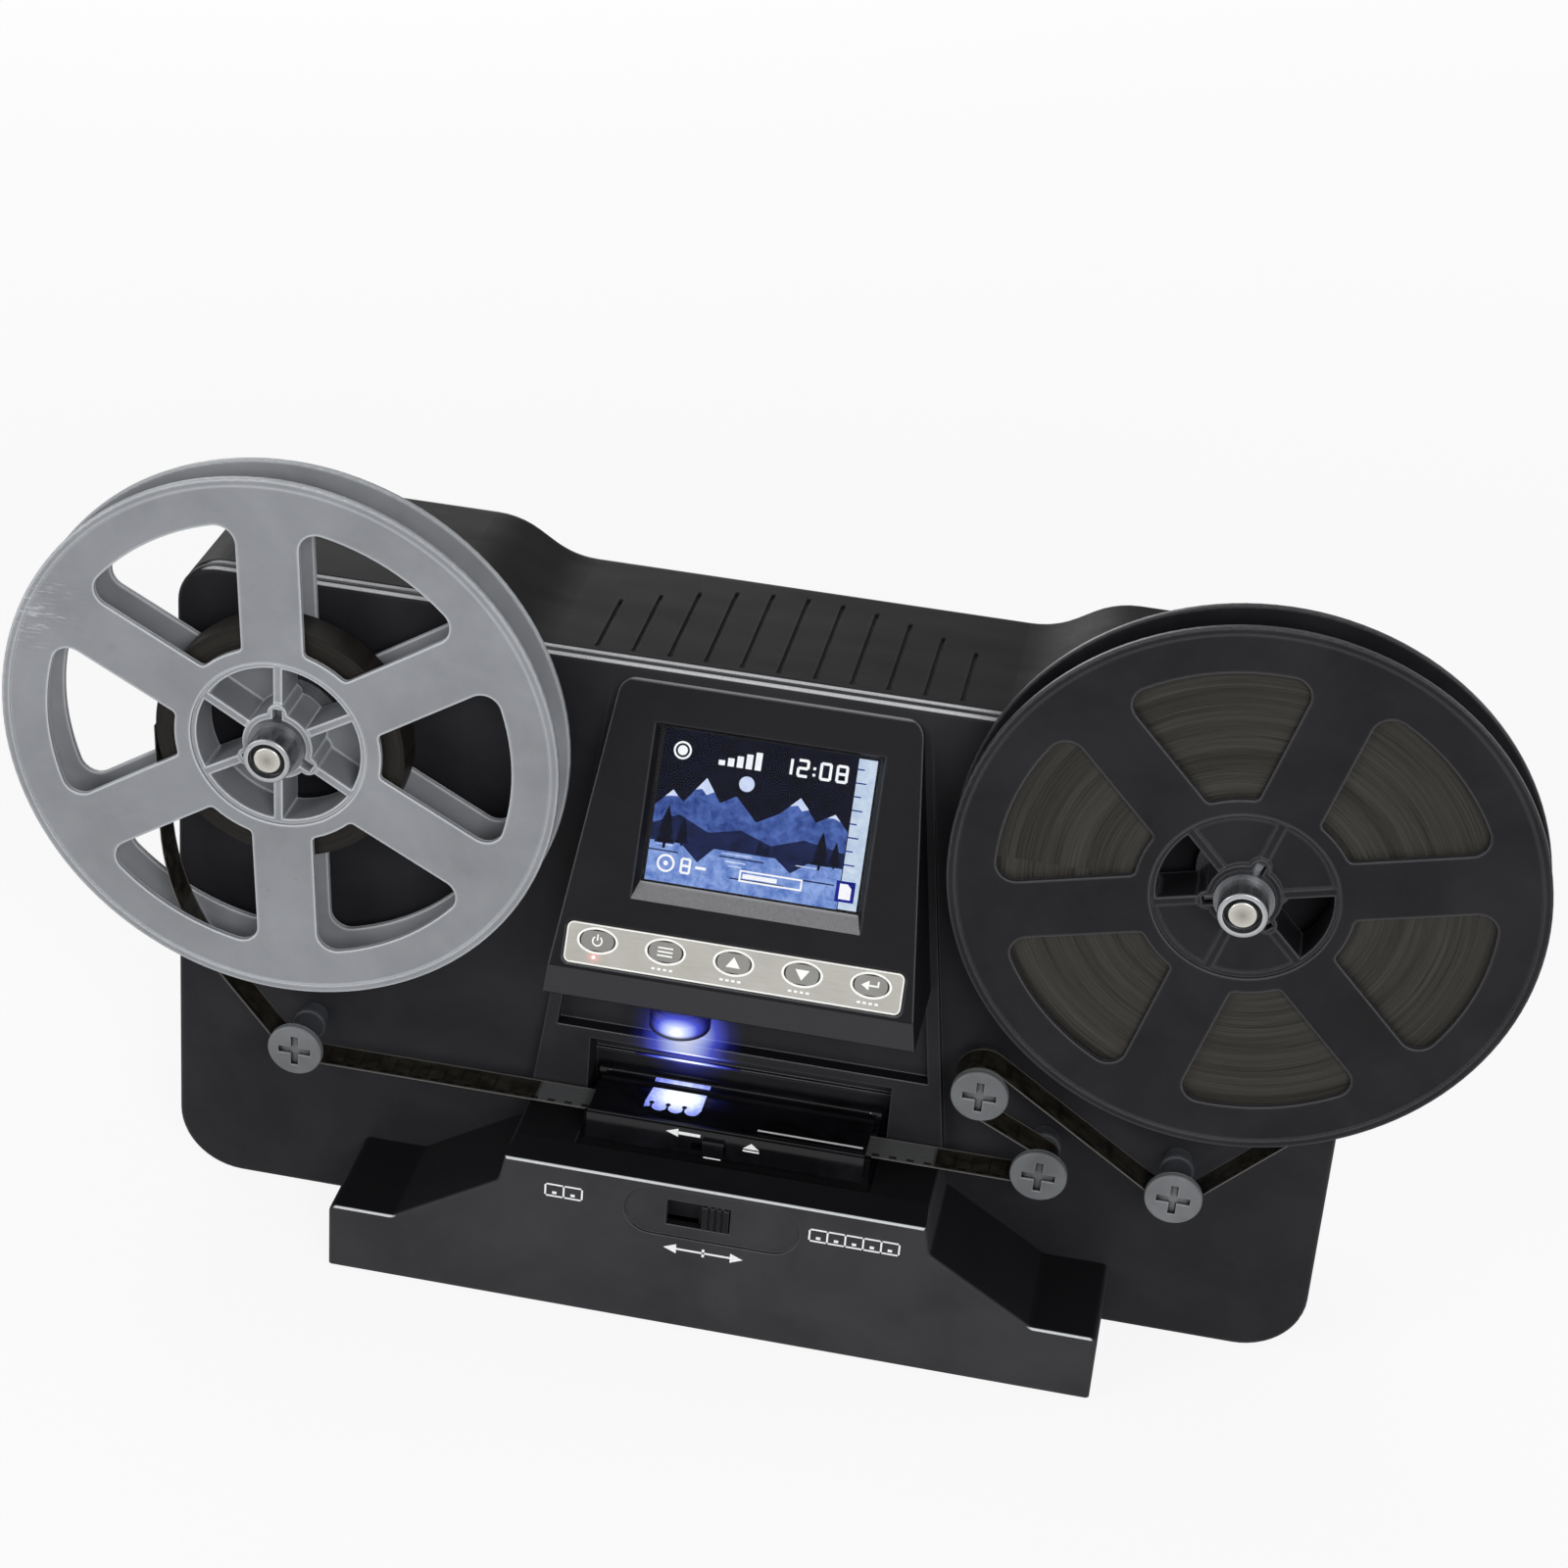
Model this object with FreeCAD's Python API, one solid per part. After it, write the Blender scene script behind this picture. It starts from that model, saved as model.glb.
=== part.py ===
import FreeCAD, Part
import math
import os

from FreeCAD import Vector

# Film scanner for 8 mm reels: a slim upright body with a supply reel and a take-up reel
# on its front, a tilted screen console between them, and a film gate on the base below.
# Millimetres. X runs to the right, Y to the back, Z up, seen from the front.
# The panel's front face is y = 0 and the feet stand on z = 0 while the pieces are built.

# Body
BODY_HALF_WIDTH_TOP = 134.5
BODY_HALF_WIDTH_BOTTOM = 137.0
BODY_DEPTH = 51.0
SHOULDER_RISE = 33.2
SADDLE_DROP = 8.2
SADDLE_HALF_WIDTH = 56.0
SADDLE_SLOPE_WIDTH = 13.0
SADDLE_BLEND_RADIUS = 19.0
BODY_TOP_RADIUS = 10.0
BODY_BOTTOM_RADIUS = 15.5
BODY_WALL = 2.4
PARTING_GAP = 0.6
FRONT_EDGE_RADIUS = 1.5
REAR_EDGE_RADIUS = 3.0
LOCATING_LIP_DEPTH = 3.0
LOCATING_LIP_WALL = 1.6

# Grooves and vents of the rear cover
GROOVE_COUNT = 11
GROOVE_PITCH = 8.1
GROOVE_WIDTH = 1.0
GROOVE_DEPTH = 0.6
GROOVE_START = 3.6
GROOVE_MIDDLE_LENGTH = 38.0
GROOVE_OUTER_LENGTH = 23.5
GROOVE_DOT_RADIUS = 0.75
VENT_COUNT = 13
VENT_PITCH = 6.0
VENT_WIDTH = 2.4
VENT_HEIGHT = 22.0
VENT_DROP = 30.7

# Base foot in front of the body
BASE_HALF_WIDTH = 90.3
BASE_DEPTH = 28.4
WING_HEIGHT = 18.5
WING_WIDTH = 15.3
TABLE_HALF_WIDTH = 48.5
TABLE_SLOPE_DROP = 8.0
TABLE_SLOPE_OFFSET = 1.5
TABLE_HEIGHT = 42.0
TABLE_FRONT_DROP = 1.0
TABLE_EDGE_RADIUS = 1.0
BASE_CORNER_RADIUS = 2.0
BASE_BLEND_RADIUS = 3.0
BASE_WALL = 2.4
BASE_PLATE_THICKNESS = 2.0

# Rubber feet
FOOT_RADIUS = 6.0
FOOT_HEIGHT = 1.5
FOOT_ROUND = 0.5
FRONT_FOOT_X = 79.0
FRONT_FOOT_INSET = 14.5
REAR_FOOT_X = 112.0
REAR_FOOT_INSET = 9.0

# Centre column of the panel
COLUMN_TOP_DROP = 3.0
COLUMN_HALF_WIDTH_TOP = 35.1
COLUMN_HALF_WIDTH_BOTTOM = 49.0
COLUMN_BOTTOM_RISE = 4.0
NICHE_HALF_WIDTH = 35.4
NICHE_OPENING = 18.0
NICHE_BACK = 5.0
NICHE_WALL = 1.8
NICHE_RIB_COUNT = 3
NICHE_RIB_HEIGHT = 0.8
NICHE_RIB_THICKNESS = 0.9
NICHE_RIB_PITCH = 2.4
BROW_RISE = 20.5
BROW_SIDE_WALL = 3.0

# Console wedge, its screen and its button strip
CONSOLE_TILT = 25.5
CONSOLE_FACE_LENGTH = 65.1
CONSOLE_SIDE_INSET = 1.8
CONSOLE_LIP_HEIGHT = 7.8
CONSOLE_TOP_RADIUS = 4.0
CONSOLE_WALL = 2.2
CONSOLE_EDGE_RADIUS = 0.9
SCREEN_HALF_WIDTH = 24.2
SCREEN_MIDDLE_X = 0.9
SCREEN_TOP = 9.6
SCREEN_HEIGHT = 34.4
SCREEN_BEVEL_SIDE = 1.2
SCREEN_BEVEL_TOP = 0.6
SCREEN_BEVEL_BOTTOM = 4.0
WINDOW_THICKNESS = 1.0
WINDOW_MARGIN = 1.6
LCD_THICKNESS = 3.0
STRIP_HALF_WIDTH = 37.5
STRIP_TOP = 54.8
STRIP_HEIGHT = 9.2
STRIP_THICKNESS = 0.9
STRIP_CORNER_RADIUS = 1.5
TRAY_CLEARANCE = 0.25
BUTTON_NAMES = ("power", "menu", "up", "down", "enter")
BUTTON_PITCH = 15.2
BUTTON_LENGTH = 7.4
BUTTON_HEIGHT = 4.4
BUTTON_DROP = 3.6
BUTTON_PROUD = 0.35
BUTTON_ROUND = 0.28
BUTTON_FLANGE = 0.8
BUTTON_FLANGE_THICKNESS = 0.8
BUTTON_CLEARANCE = 0.3
BUTTON_TRAVEL = 0.6
SWITCH_GAP = 0.3
SWITCH_SIZE = 3.4
SWITCH_HEIGHT = 1.2

# Circuit boards
BOARD_THICKNESS = 1.6
CAMERA_BOARD_SIZE = 22.0
CAMERA_BOARD_LIFT = 3.0
CAMERA_BOARD_NOTCH = 3.0
CAMERA_FOOT_INSET = 1.5
MAIN_BOARD_HALF_WIDTH = 48.0
MAIN_BOARD_BOTTOM = 40.0
MAIN_BOARD_HEIGHT = 46.0
CHIP_PLACES = ((-20.0, 22.0), (12.0, 20.0), (34.0, 30.0))
CHIP_SIZE = 14.0
CHIP_HEIGHT = 1.6

# Film gate
GATE_RECESS_DEPTH = 1.0
GATE_RECESS_FRONT = 20.0
GATE_RECESS_HALF_WIDTH = 34.4
GATE_BED_HALF_WIDTH = 33.4
GATE_DOOR_HALF_WIDTH = 32.2
GATE_FRONT = 18.3
GATE_SKIRT_THICKNESS = 1.4
GATE_SKIRT_GAP = 0.6
GATE_DOOR_THICKNESS = 1.6
GATE_HINGE_Y = 1.4
GATE_HINGE_RADIUS = 1.7
GATE_EAR_WIDTH = 2.4
HINGE_PIN_RADIUS = 0.8
GATE_CLEARANCE = 0.3
GATE_RAIL_WIDTH = 1.2
GATE_RAIL_HEIGHT = 0.7
GATE_RIDGE_HEIGHT = 0.5
GATE_RIDGE_WIDTH = 0.8
GATE_RIDGE_INSET = 0.6
GATE_EDGE_RADIUS = 0.5
GATE_HINGE_RISE = 0.5
GATE_NECK_STEP = 0.3
GATE_WINDOW_X = -13.5
GATE_WINDOW_WIDTH = 14.0
GATE_WINDOW_DEPTH = 10.2
GATE_WINDOW_OFFSET = 1.2
APERTURE_WIDTH = 9.0
APERTURE_DEPTH = 6.0
LATCH_X = -2.4
LATCH_WIDTH = 5.6
LATCH_TRAVEL = 2.4
LATCH_PROUD = 0.9
LATCH_NECK_HEIGHT = 2.0
LATCH_PLATE_THICKNESS = 0.6
LATCH_END_GAP = 0.4
LAMP_SIZE = 5.0
DIFFUSER_FLANGE = 2.4
LED_BOARD_MARGIN = 3.2
LENS_RADIUS = 7.0
LENS_RISE = 30.5
LENS_GLASS_RADIUS = 4.6
LENS_GLASS_THICKNESS = 1.0
LENS_SEAT_DEPTH = 1.5
LENS_RING_COUNT = 3
LENS_RING_PITCH = 3.0
LENS_RING_WIDTH = 0.8
LENS_RING_DEPTH = 0.4

# Film select switch on the base front
SELECT_PAD_LENGTH = 40.8
SELECT_PAD_HEIGHT = 13.0
SELECT_PAD_DROP = 8.8
SELECT_PAD_DEPTH = 0.5
SELECT_SLOT_X = -3.1
SELECT_SLOT_LENGTH = 14.8
SELECT_SLOT_HEIGHT = 6.8
SELECT_KNOB_WIDTH = 6.2
SELECT_KNOB_CLEARANCE = 0.3
KNOB_GROOVE = 0.35
KNOB_GROOVE_COUNT = 3
KNOB_GUIDE = 1.0
SELECT_TAB_WIDTH = 4.0
SELECT_TAB_LAP = 2.0
SELECT_SWITCH_DEPTH = 5.0
SELECT_SWITCH_HEIGHT = 6.0

# Reels: standard five inch spools for film 8 mm wide
REEL_RADIUS = 63.5
REEL_X = 106.3
REEL_LOW_GAP = 10.1
REEL_FRONT = 16.0
REEL_WIDTH = 11.8
FLANGE_THICKNESS = 1.2
FLANGE_RIM_WIDTH = 1.8
FLANGE_RIM_STEP = 0.3
WINDOW_OUTER_RADIUS = 53.0
WINDOW_INNER_RADIUS = 23.6
WINDOW_OUTER_CORNER = 4.2
WINDOW_INNER_CORNER = 1.4
SPOKE_COUNT = 6
SPOKE_WIDTH = 14.0
SUPPLY_SPOKE_ANGLE = 92.5
TAKEUP_SPOKE_ANGLE = 74.0
HUB_RING_INNER = 20.0
HUB_RING_OUTER = 22.6
HUB_SPIGOT_WALL = 1.2
HUB_TUBE_OUTER = 8.0
HUB_RIB_THICKNESS = 2.0
HUB_KEY_COUNT = 3
HUB_KEY_LOOP_RADIUS = 2.2
HUB_KEY_WIDTH = 2.2
HUB_KEY_REACH = 9.0
HUB_PANEL_THICKNESS = 1.0
HUB_PANEL_SINK = 0.8
HUB_JOIN = 0.5
FILM_CLIP_SLOT = 1.6
SUPPLY_KEY_ANGLE = 90.0
TAKEUP_KEY_ANGLE = 74.0
TAKEUP_OPEN_SECTORS = (1, 4)

# Film
FILM_WIDTH = 8.0
FILM_THICKNESS = 0.15
FILM_GAP = 0.3
FILM_EDGE_GAP = 0.2
PERFORATION_INSET = 1.4
SUPPLY_PACK_RADIUS = 28.5
TAKEUP_PACK_RADIUS = 56.0
SLACK_RADIUS = 62.5
SLACK_INWARD = 34.3
SLACK_DROP = 24.5
LOOP_RADIUS = 6.4

# Spindles
SPINDLE_BARREL_RADIUS = 6.5
SPINDLE_TIP_RADIUS = 5.4
SPINDLE_CUP_RADIUS = 4.2
SPINDLE_SCREW_RADIUS = 3.1
SPINDLE_HEAD_HEIGHT = 1.6
SPINDLE_HEAD_SINK = 0.3
SPINDLE_HEAD_ROUND = 0.4
SPINDLE_BOLT_RADIUS = 1.5
SPINDLE_BOLT_LENGTH = 11.0
SPINDLE_TIP_OUT = 23.2
SPINDLE_TIP_ROUND = 0.5
SPINDLE_COLLAR_RADIUS = 11.0
SPINDLE_COLLAR_THICKNESS = 2.4
SPINDLE_SHAFT_RADIUS = 4.0
FIT_CLEARANCE = 0.05
BUSHING_WALL = 2.0
BUSHING_FLANGE_RADIUS = 8.5
BUSHING_FLANGE_THICKNESS = 1.0
BUSHING_LENGTH = 9.0
BEARING_BOSS_WALL = 2.4

# Rollers
ROLLER_LOW_RISE = 9.4
ROLLER_LEFT_X = -102.5
ROLLER_INNER_X = 71.5
ROLLER_OUTER_X = 102.0
ROLLER_HIGH_X = 56.1
ROLLER_HIGH_RISE = 18.8
ROLLER_SLEEVE_RADIUS = 3.3
ROLLER_AXLE_RADIUS = 2.0
ROLLER_HEAD_RADIUS = 6.5
ROLLER_HEAD_THICKNESS = 1.6
ROLLER_HEAD_FRONT = 16.0
ROLLER_REAR_FLANGE_RADIUS = 3.9
ROLLER_FLANGE_GAP = 1.5
ROLLER_FLANGE_THICKNESS = 1.0
ROLLER_HEAD_ROUND = 0.5
CROSS_RECESS_LENGTH = 7.6
CROSS_RECESS_WIDTH = 1.7
CROSS_RECESS_DEPTH = 0.8

# Take-up drive
PULLEY_Y = 13.0
PULLEY_WIDTH = 4.0
PULLEY_RIM = 0.9
TAKEUP_PULLEY_RADIUS = 18.0
MOTOR_PULLEY_RADIUS = 4.0
BELT_THICKNESS = 1.2
MOTOR_DROP = 56.0
MOTOR_RADIUS = 12.0
MOTOR_REAR_GAP = 3.3
MOTOR_EDGE_RADIUS = 1.0
MOTOR_SHAFT_REACH = 7.0
MOTOR_SHAFT_ROOM = 1.0
MOTOR_HOLE_CLEARANCE = 3.0
MOTOR_EAR_RISE = 6.0
MOTOR_SHAFT_RADIUS = 1.0
MOTOR_BRACKET_THICKNESS = 1.5
MOTOR_FLOOR_HALF = 15.0
DRAG_WASHER_RADIUS = 9.0
DRAG_WASHER_THICKNESS = 1.5
DRAG_SPRING_WIDTH = 10.0
DRAG_SPRING_THICKNESS = 0.8
DRAG_POST_RADIUS = 3.0
DRAG_POST_DROP = 25.0

# Film advance inside the base
ADVANCE_X = 18.0
ADVANCE_Z = 22.0
ADVANCE_MOTOR_RADIUS = 8.0
ADVANCE_MOTOR_GAP = 0.3
ADVANCE_SHAFT_REACH = 4.0
ADVANCE_PILLAR_WIDTH = 12.0
ADVANCE_PILLAR_DEPTH = 5.0
CAM_RADIUS = 5.0
CAM_PIN_OFFSET = 2.1
CAM_PIN_RADIUS = 1.0
CAM_THICKNESS = 2.0
CLAW_THICKNESS = 1.0
CLAW_STROKE = 2.1
CLAW_ARM_HEIGHT = 4.0
CLAW_TOOTH_WIDTH = 0.9
CLAW_GUIDE_MARGIN = 3.0

# Screws
SCREW_RADIUS = 1.5
SCREW_HEAD_RADIUS = 2.8
SCREW_HEAD_HEIGHT = 2.0
SCREW_LENGTH = 12.0
BOSS_WALL = 2.2
BOSS_JOINT_Y = 10.0
UPPER_BOSS_X = 122.0
UPPER_BOSS_DROP = 12.7
MIDDLE_BOSS_X = 50.0
MIDDLE_BOSS_DROP = 10.5
LOWER_BOSS_X = 121.0
LOWER_BOSS_Z = 18.0

# Sockets in the rear wall
DC_JACK_X = -34.0
USB_PORT_X = -12.0
SD_SLOT_X = 22.0
SOCKET_Z = 24.0
DC_JACK_RADIUS = 3.2
DC_JACK_SIZE = 9.0
DC_JACK_LENGTH = 14.0
USB_WIDTH = 8.0
USB_HEIGHT = 3.2
USB_LENGTH = 9.0
USB_SKIN = 0.4
SD_CARD_WIDTH = 24.0
SD_CARD_LENGTH = 32.0
SD_CARD_THICKNESS = 2.1
SD_WALL = 1.2
SOCKET_BOARD_MARGIN = 4.0
MAIN_BOARD_GAP = 6.0
BOARD_POST_RADIUS = 2.5
BOARD_POST_INSET = 5.0
SOCKET_CLEARANCE = 0.3
SOCKET_SINK = 0.6
DC_JACK_SINK = 0.4
DC_JACK_SKIN = 0.6
DC_JACK_PIN_RADIUS = 0.9
DC_JACK_FLOOR = 3.0
SD_CARD_CORNER = 4.0
SD_CARD_ROUND = 0.5
# Heights that follow from the table and the film's route over it, under the reels
ROLLER_LOW_Z = TABLE_HEIGHT + ROLLER_LOW_RISE
ROLLER_HIGH_Z = ROLLER_LOW_Z + ROLLER_HIGH_RISE
REEL_Z = ROLLER_LOW_Z + ROLLER_HEAD_RADIUS + REEL_LOW_GAP + REEL_RADIUS
SHOULDER_HEIGHT = REEL_Z + SHOULDER_RISE
SADDLE_HEIGHT = SHOULDER_HEIGHT - SADDLE_DROP
COLUMN_TOP = SADDLE_HEIGHT - COLUMN_TOP_DROP
VENT_BOTTOM = SHOULDER_HEIGHT - VENT_DROP - VENT_HEIGHT
UPPER_BOSS_Z = SHOULDER_HEIGHT - UPPER_BOSS_DROP
MIDDLE_BOSS_Z = SADDLE_HEIGHT - MIDDLE_BOSS_DROP
MAIN_BOARD_TOP = MAIN_BOARD_BOTTOM + MAIN_BOARD_HEIGHT
HALF_SECTOR = 180 / SPOKE_COUNT
KEY_SECTOR = 360 / HUB_KEY_COUNT
TABLE_SLOPE_HEIGHT = TABLE_HEIGHT - TABLE_SLOPE_DROP
SELECT_PAD_Z = TABLE_HEIGHT - SELECT_PAD_DROP
NICHE_HEIGHT = TABLE_HEIGHT + NICHE_OPENING
BROW_BOTTOM = TABLE_HEIGHT + BROW_RISE
LENS_BOTTOM = TABLE_HEIGHT + LENS_RISE
GATE_SKIRT_BOTTOM = TABLE_HEIGHT + GATE_SKIRT_GAP
SLACK_X = SLACK_INWARD - REEL_X
SLACK_Z = REEL_Z - SLACK_DROP

# The part's origin lies under the middle of its outer box, on the resting plane
ORIGIN_SHIFT_Y = (BASE_DEPTH - BODY_DEPTH) / 2

# How near two points or planes lie when they count as one, and the straight left between two end arcs
SAME_POINT = 1e-6
SAME_PLANE = 1e-3
ARC_SLACK = 0.01

X_AXIS = Vector(1, 0, 0)
Y_AXIS = Vector(0, 1, 0)
Z_AXIS = Vector(0, 0, 1)


# Shapes

def box(x0, x1, y0, y1, z0, z1):
    """A block between two values on each axis."""
    return Part.makeBox(x1 - x0, y1 - y0, z1 - z0, Vector(x0, y0, z0))


def rod(radius, y0, y1, x, z):
    """A cylinder along Y."""
    return Part.makeCylinder(radius, y1 - y0, Vector(x, y0, z), Y_AXIS)


def pipe(outer, inner, y0, y1, x, z):
    """A tube along Y."""
    return rod(outer, y0, y1, x, z).cut(rod(inner, y0, y1, x, z))


def upright(radius, z0, z1, x, y):
    """A cylinder along Z."""
    return Part.makeCylinder(radius, z1 - z0, Vector(x, y, z0), Z_AXIS)


def crossbar(radius, x0, x1, y, z):
    """A cylinder along X."""
    return Part.makeCylinder(radius, x1 - x0, Vector(x0, y, z), X_AXIS)


def rounded_wire(corners, place):
    """A closed wire through corners (u, v, radius), each rounded by an arc."""
    edges = []
    ends = []
    count = len(corners)
    for i in range(count):
        u, v, radius = corners[i]
        before = Vector(*corners[i - 1][:2], 0) - Vector(u, v, 0)
        after = Vector(*corners[(i + 1) % count][:2], 0) - Vector(u, v, 0)
        before.normalize()
        after.normalize()
        half = before.getAngle(after) / 2
        corner = Vector(u, v, 0)
        if radius <= 0:
            ends.append((corner, corner, None))
            continue
        reach = radius / math.tan(half)
        middle = before + after
        middle.normalize()
        tip = corner + middle * (radius / math.sin(half) - radius)
        ends.append((corner + before * reach, corner + after * reach, tip))
    for i in range(count):
        start, stop, tip = ends[i]
        if tip is not None:
            edges.append(Part.Arc(place(start), place(tip), place(stop)).toShape())
        following = ends[(i + 1) % count][0]
        if stop.distanceToPoint(following) > SAME_POINT:
            edges.append(Part.LineSegment(place(stop), place(following)).toShape())
    return Part.Wire(Part.__sortEdges__(edges))


def front_prism(corners, y0, y1):
    """An outline in the front view, drawn through the depth y0 to y1."""
    wire = rounded_wire(corners, lambda p: Vector(p.x, y0, p.y))
    return Part.Face(wire).extrude(Vector(0, y1 - y0, 0))


def side_prism(corners, x0, x1):
    """An outline of (y, z) corners in the side view, drawn from x0 to x1."""
    wire = rounded_wire(corners, lambda p: Vector(x0, p.x, p.y))
    return Part.Face(wire).extrude(Vector(x1 - x0, 0, 0))


def plan_prism(corners, z0, z1):
    """An outline of (x, y) corners seen from above, drawn from z0 to z1."""
    wire = rounded_wire(corners, lambda p: Vector(p.x, p.y, z0))
    return Part.Face(wire).extrude(Vector(0, 0, z1 - z0))


def oblong(x0, x1, z0, z1, radius, y0, y1):
    """A block in the front view with four equal corner radii."""
    corners = [(x0, z0, radius), (x1, z0, radius), (x1, z1, radius), (x0, z1, radius)]
    return front_prism(corners, y0, y1)


def union(shapes):
    """One solid of several."""
    return shapes[0].fuse(shapes[1:]).removeSplitter()


def less(shape, cutters):
    """The shape without the cutters."""
    return shape.cut(cutters).removeSplitter()


def softened(shape, radius, wanted):
    """The shape with the edges that wanted() picks rounded."""
    return shape.makeFillet(radius, [edge for edge in shape.Edges if wanted(edge)])


def on_plane_y(edge, y):
    """Whether the whole edge lies in the plane at this depth."""
    bounds = edge.BoundBox
    return abs(bounds.YMin - y) < SAME_PLANE and abs(bounds.YMax - y) < SAME_PLANE


# Body outline

def body_corners(inset):
    """The saddle-shaped outline of the body, moved inwards by a wall."""
    slope = math.atan2(SHOULDER_HEIGHT - SADDLE_HEIGHT, SADDLE_SLOPE_WIDTH)
    shift = inset * math.tan(slope / 2)
    bottom = FOOT_HEIGHT + inset
    low = BODY_HALF_WIDTH_BOTTOM - inset
    high = BODY_HALF_WIDTH_TOP - inset
    shoulder = SADDLE_HALF_WIDTH + SADDLE_SLOPE_WIDTH + shift
    saddle = SADDLE_HALF_WIDTH + shift
    convex = SADDLE_BLEND_RADIUS - inset
    hollow = SADDLE_BLEND_RADIUS + inset
    right = [
        (low, bottom, BODY_BOTTOM_RADIUS - inset),
        (high, SHOULDER_HEIGHT - inset, BODY_TOP_RADIUS - inset),
        (shoulder, SHOULDER_HEIGHT - inset, convex),
        (saddle, SADDLE_HEIGHT - inset, hollow),
    ]
    left = [(-x, z, radius) for x, z, radius in reversed(right)]
    return right + left


def body_slab(inset, y0, y1):
    """A slab of the body's outline."""
    return front_prism(body_corners(inset), y0, y1)


def boss_places():
    """Where the housing screws sit, in the front view."""
    places = []
    for side in (-1, 1):
        places.append((side * UPPER_BOSS_X, UPPER_BOSS_Z))
        places.append((side * MIDDLE_BOSS_X, MIDDLE_BOSS_Z))
        places.append((side * LOWER_BOSS_X, LOWER_BOSS_Z))
    return places


def rollers():
    """The centres of the four film rollers, in the front view."""
    return {
        "left": (ROLLER_LEFT_X, ROLLER_LOW_Z),
        "inner": (ROLLER_INNER_X, ROLLER_LOW_Z),
        "high": (ROLLER_HIGH_X, ROLLER_HIGH_Z),
        "outer": (ROLLER_OUTER_X, ROLLER_LOW_Z),
    }


def spindle_x(side):
    """The spindle's place across the body, side being -1 or 1."""
    return side * REEL_X


# Column and console envelopes

def column_half_width(z):
    """Half the column's width at a height."""
    share = (COLUMN_TOP - z) / (COLUMN_TOP - TABLE_HEIGHT)
    return COLUMN_HALF_WIDTH_TOP + share * (COLUMN_HALF_WIDTH_BOTTOM - COLUMN_HALF_WIDTH_TOP)


def trapezoid(top, bottom, inset, y0, y1):
    """A slab that follows the column's sides, between two heights."""
    high = column_half_width(top) - inset
    low = column_half_width(bottom) - inset
    return front_prism([(-low, bottom, 0), (low, bottom, 0), (high, top, 0), (-high, top, 0)], y0, y1)


def column_envelope():
    """The raised centre column as a full wedge, down to the base's table."""
    wide = BODY_HALF_WIDTH_TOP
    wedge = side_prism(
        [(0, COLUMN_TOP, 0), (-COLUMN_BOTTOM_RISE, TABLE_HEIGHT, 0), (BODY_WALL, TABLE_HEIGHT, 0),
         (BODY_WALL, COLUMN_TOP, 0)], -wide, wide)
    return wedge.common(trapezoid(COLUMN_TOP, TABLE_HEIGHT, 0, -BASE_DEPTH, BODY_DEPTH))


def console_point(along, depth):
    """(y, z) of a point of the tilted face: along it from its top, and inwards."""
    tilt = math.radians(CONSOLE_TILT)
    y = -along * math.sin(tilt) + depth * math.cos(tilt)
    z = COLUMN_TOP - along * math.cos(tilt) - depth * math.sin(tilt)
    return y, z


def on_console(shape):
    """Moves a shape drawn on the flat face (z = 0 at its top, y inwards) to its tilted place."""
    placed = shape.copy()
    placed.rotate(Vector(0, 0, 0), X_AXIS, -CONSOLE_TILT)
    placed.translate(Vector(0, 0, COLUMN_TOP))
    return placed


def lip_bottom():
    """The height of the console's lower edge."""
    return console_point(CONSOLE_FACE_LENGTH, 0)[1] - CONSOLE_LIP_HEIGHT


def face_y_at(z, depth):
    """Where the tilted face, moved inwards by depth, lies at a height."""
    tilt = math.radians(CONSOLE_TILT)
    return depth / math.cos(tilt) - (COLUMN_TOP - z) * math.tan(tilt)


def face_z_at(y, depth):
    """The height at which the tilted face, moved inwards by depth, reaches y."""
    tilt = math.radians(CONSOLE_TILT)
    return COLUMN_TOP - (depth / math.cos(tilt) - y) / math.tan(tilt)


def console_envelope(inset):
    """The console wedge, its walls moved inwards."""
    lip_y = console_point(CONSOLE_FACE_LENGTH, 0)[0] + inset
    top = COLUMN_TOP - inset
    bottom = lip_bottom() + inset
    edge = max(CONSOLE_EDGE_RADIUS - inset, 0)
    profile = [
        (BODY_WALL, top, 0),
        (face_y_at(top, inset), top, 0),
        (lip_y, face_z_at(lip_y, inset), edge),
        (lip_y, bottom, edge),
        (BODY_WALL, bottom, 0),
    ]
    wide = BODY_HALF_WIDTH_TOP
    high = column_half_width(COLUMN_TOP) - CONSOLE_SIDE_INSET - inset
    low = column_half_width(lip_bottom()) - CONSOLE_SIDE_INSET - inset
    corner = CONSOLE_TOP_RADIUS - inset
    sides = front_prism([
        (-low, lip_bottom(), 0), (low, lip_bottom(), 0), (high, top, corner), (-high, top, corner),
    ], -BASE_DEPTH - 1, BODY_DEPTH)
    return side_prism(profile, -wide, wide).common(sides)


# Housing

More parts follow.
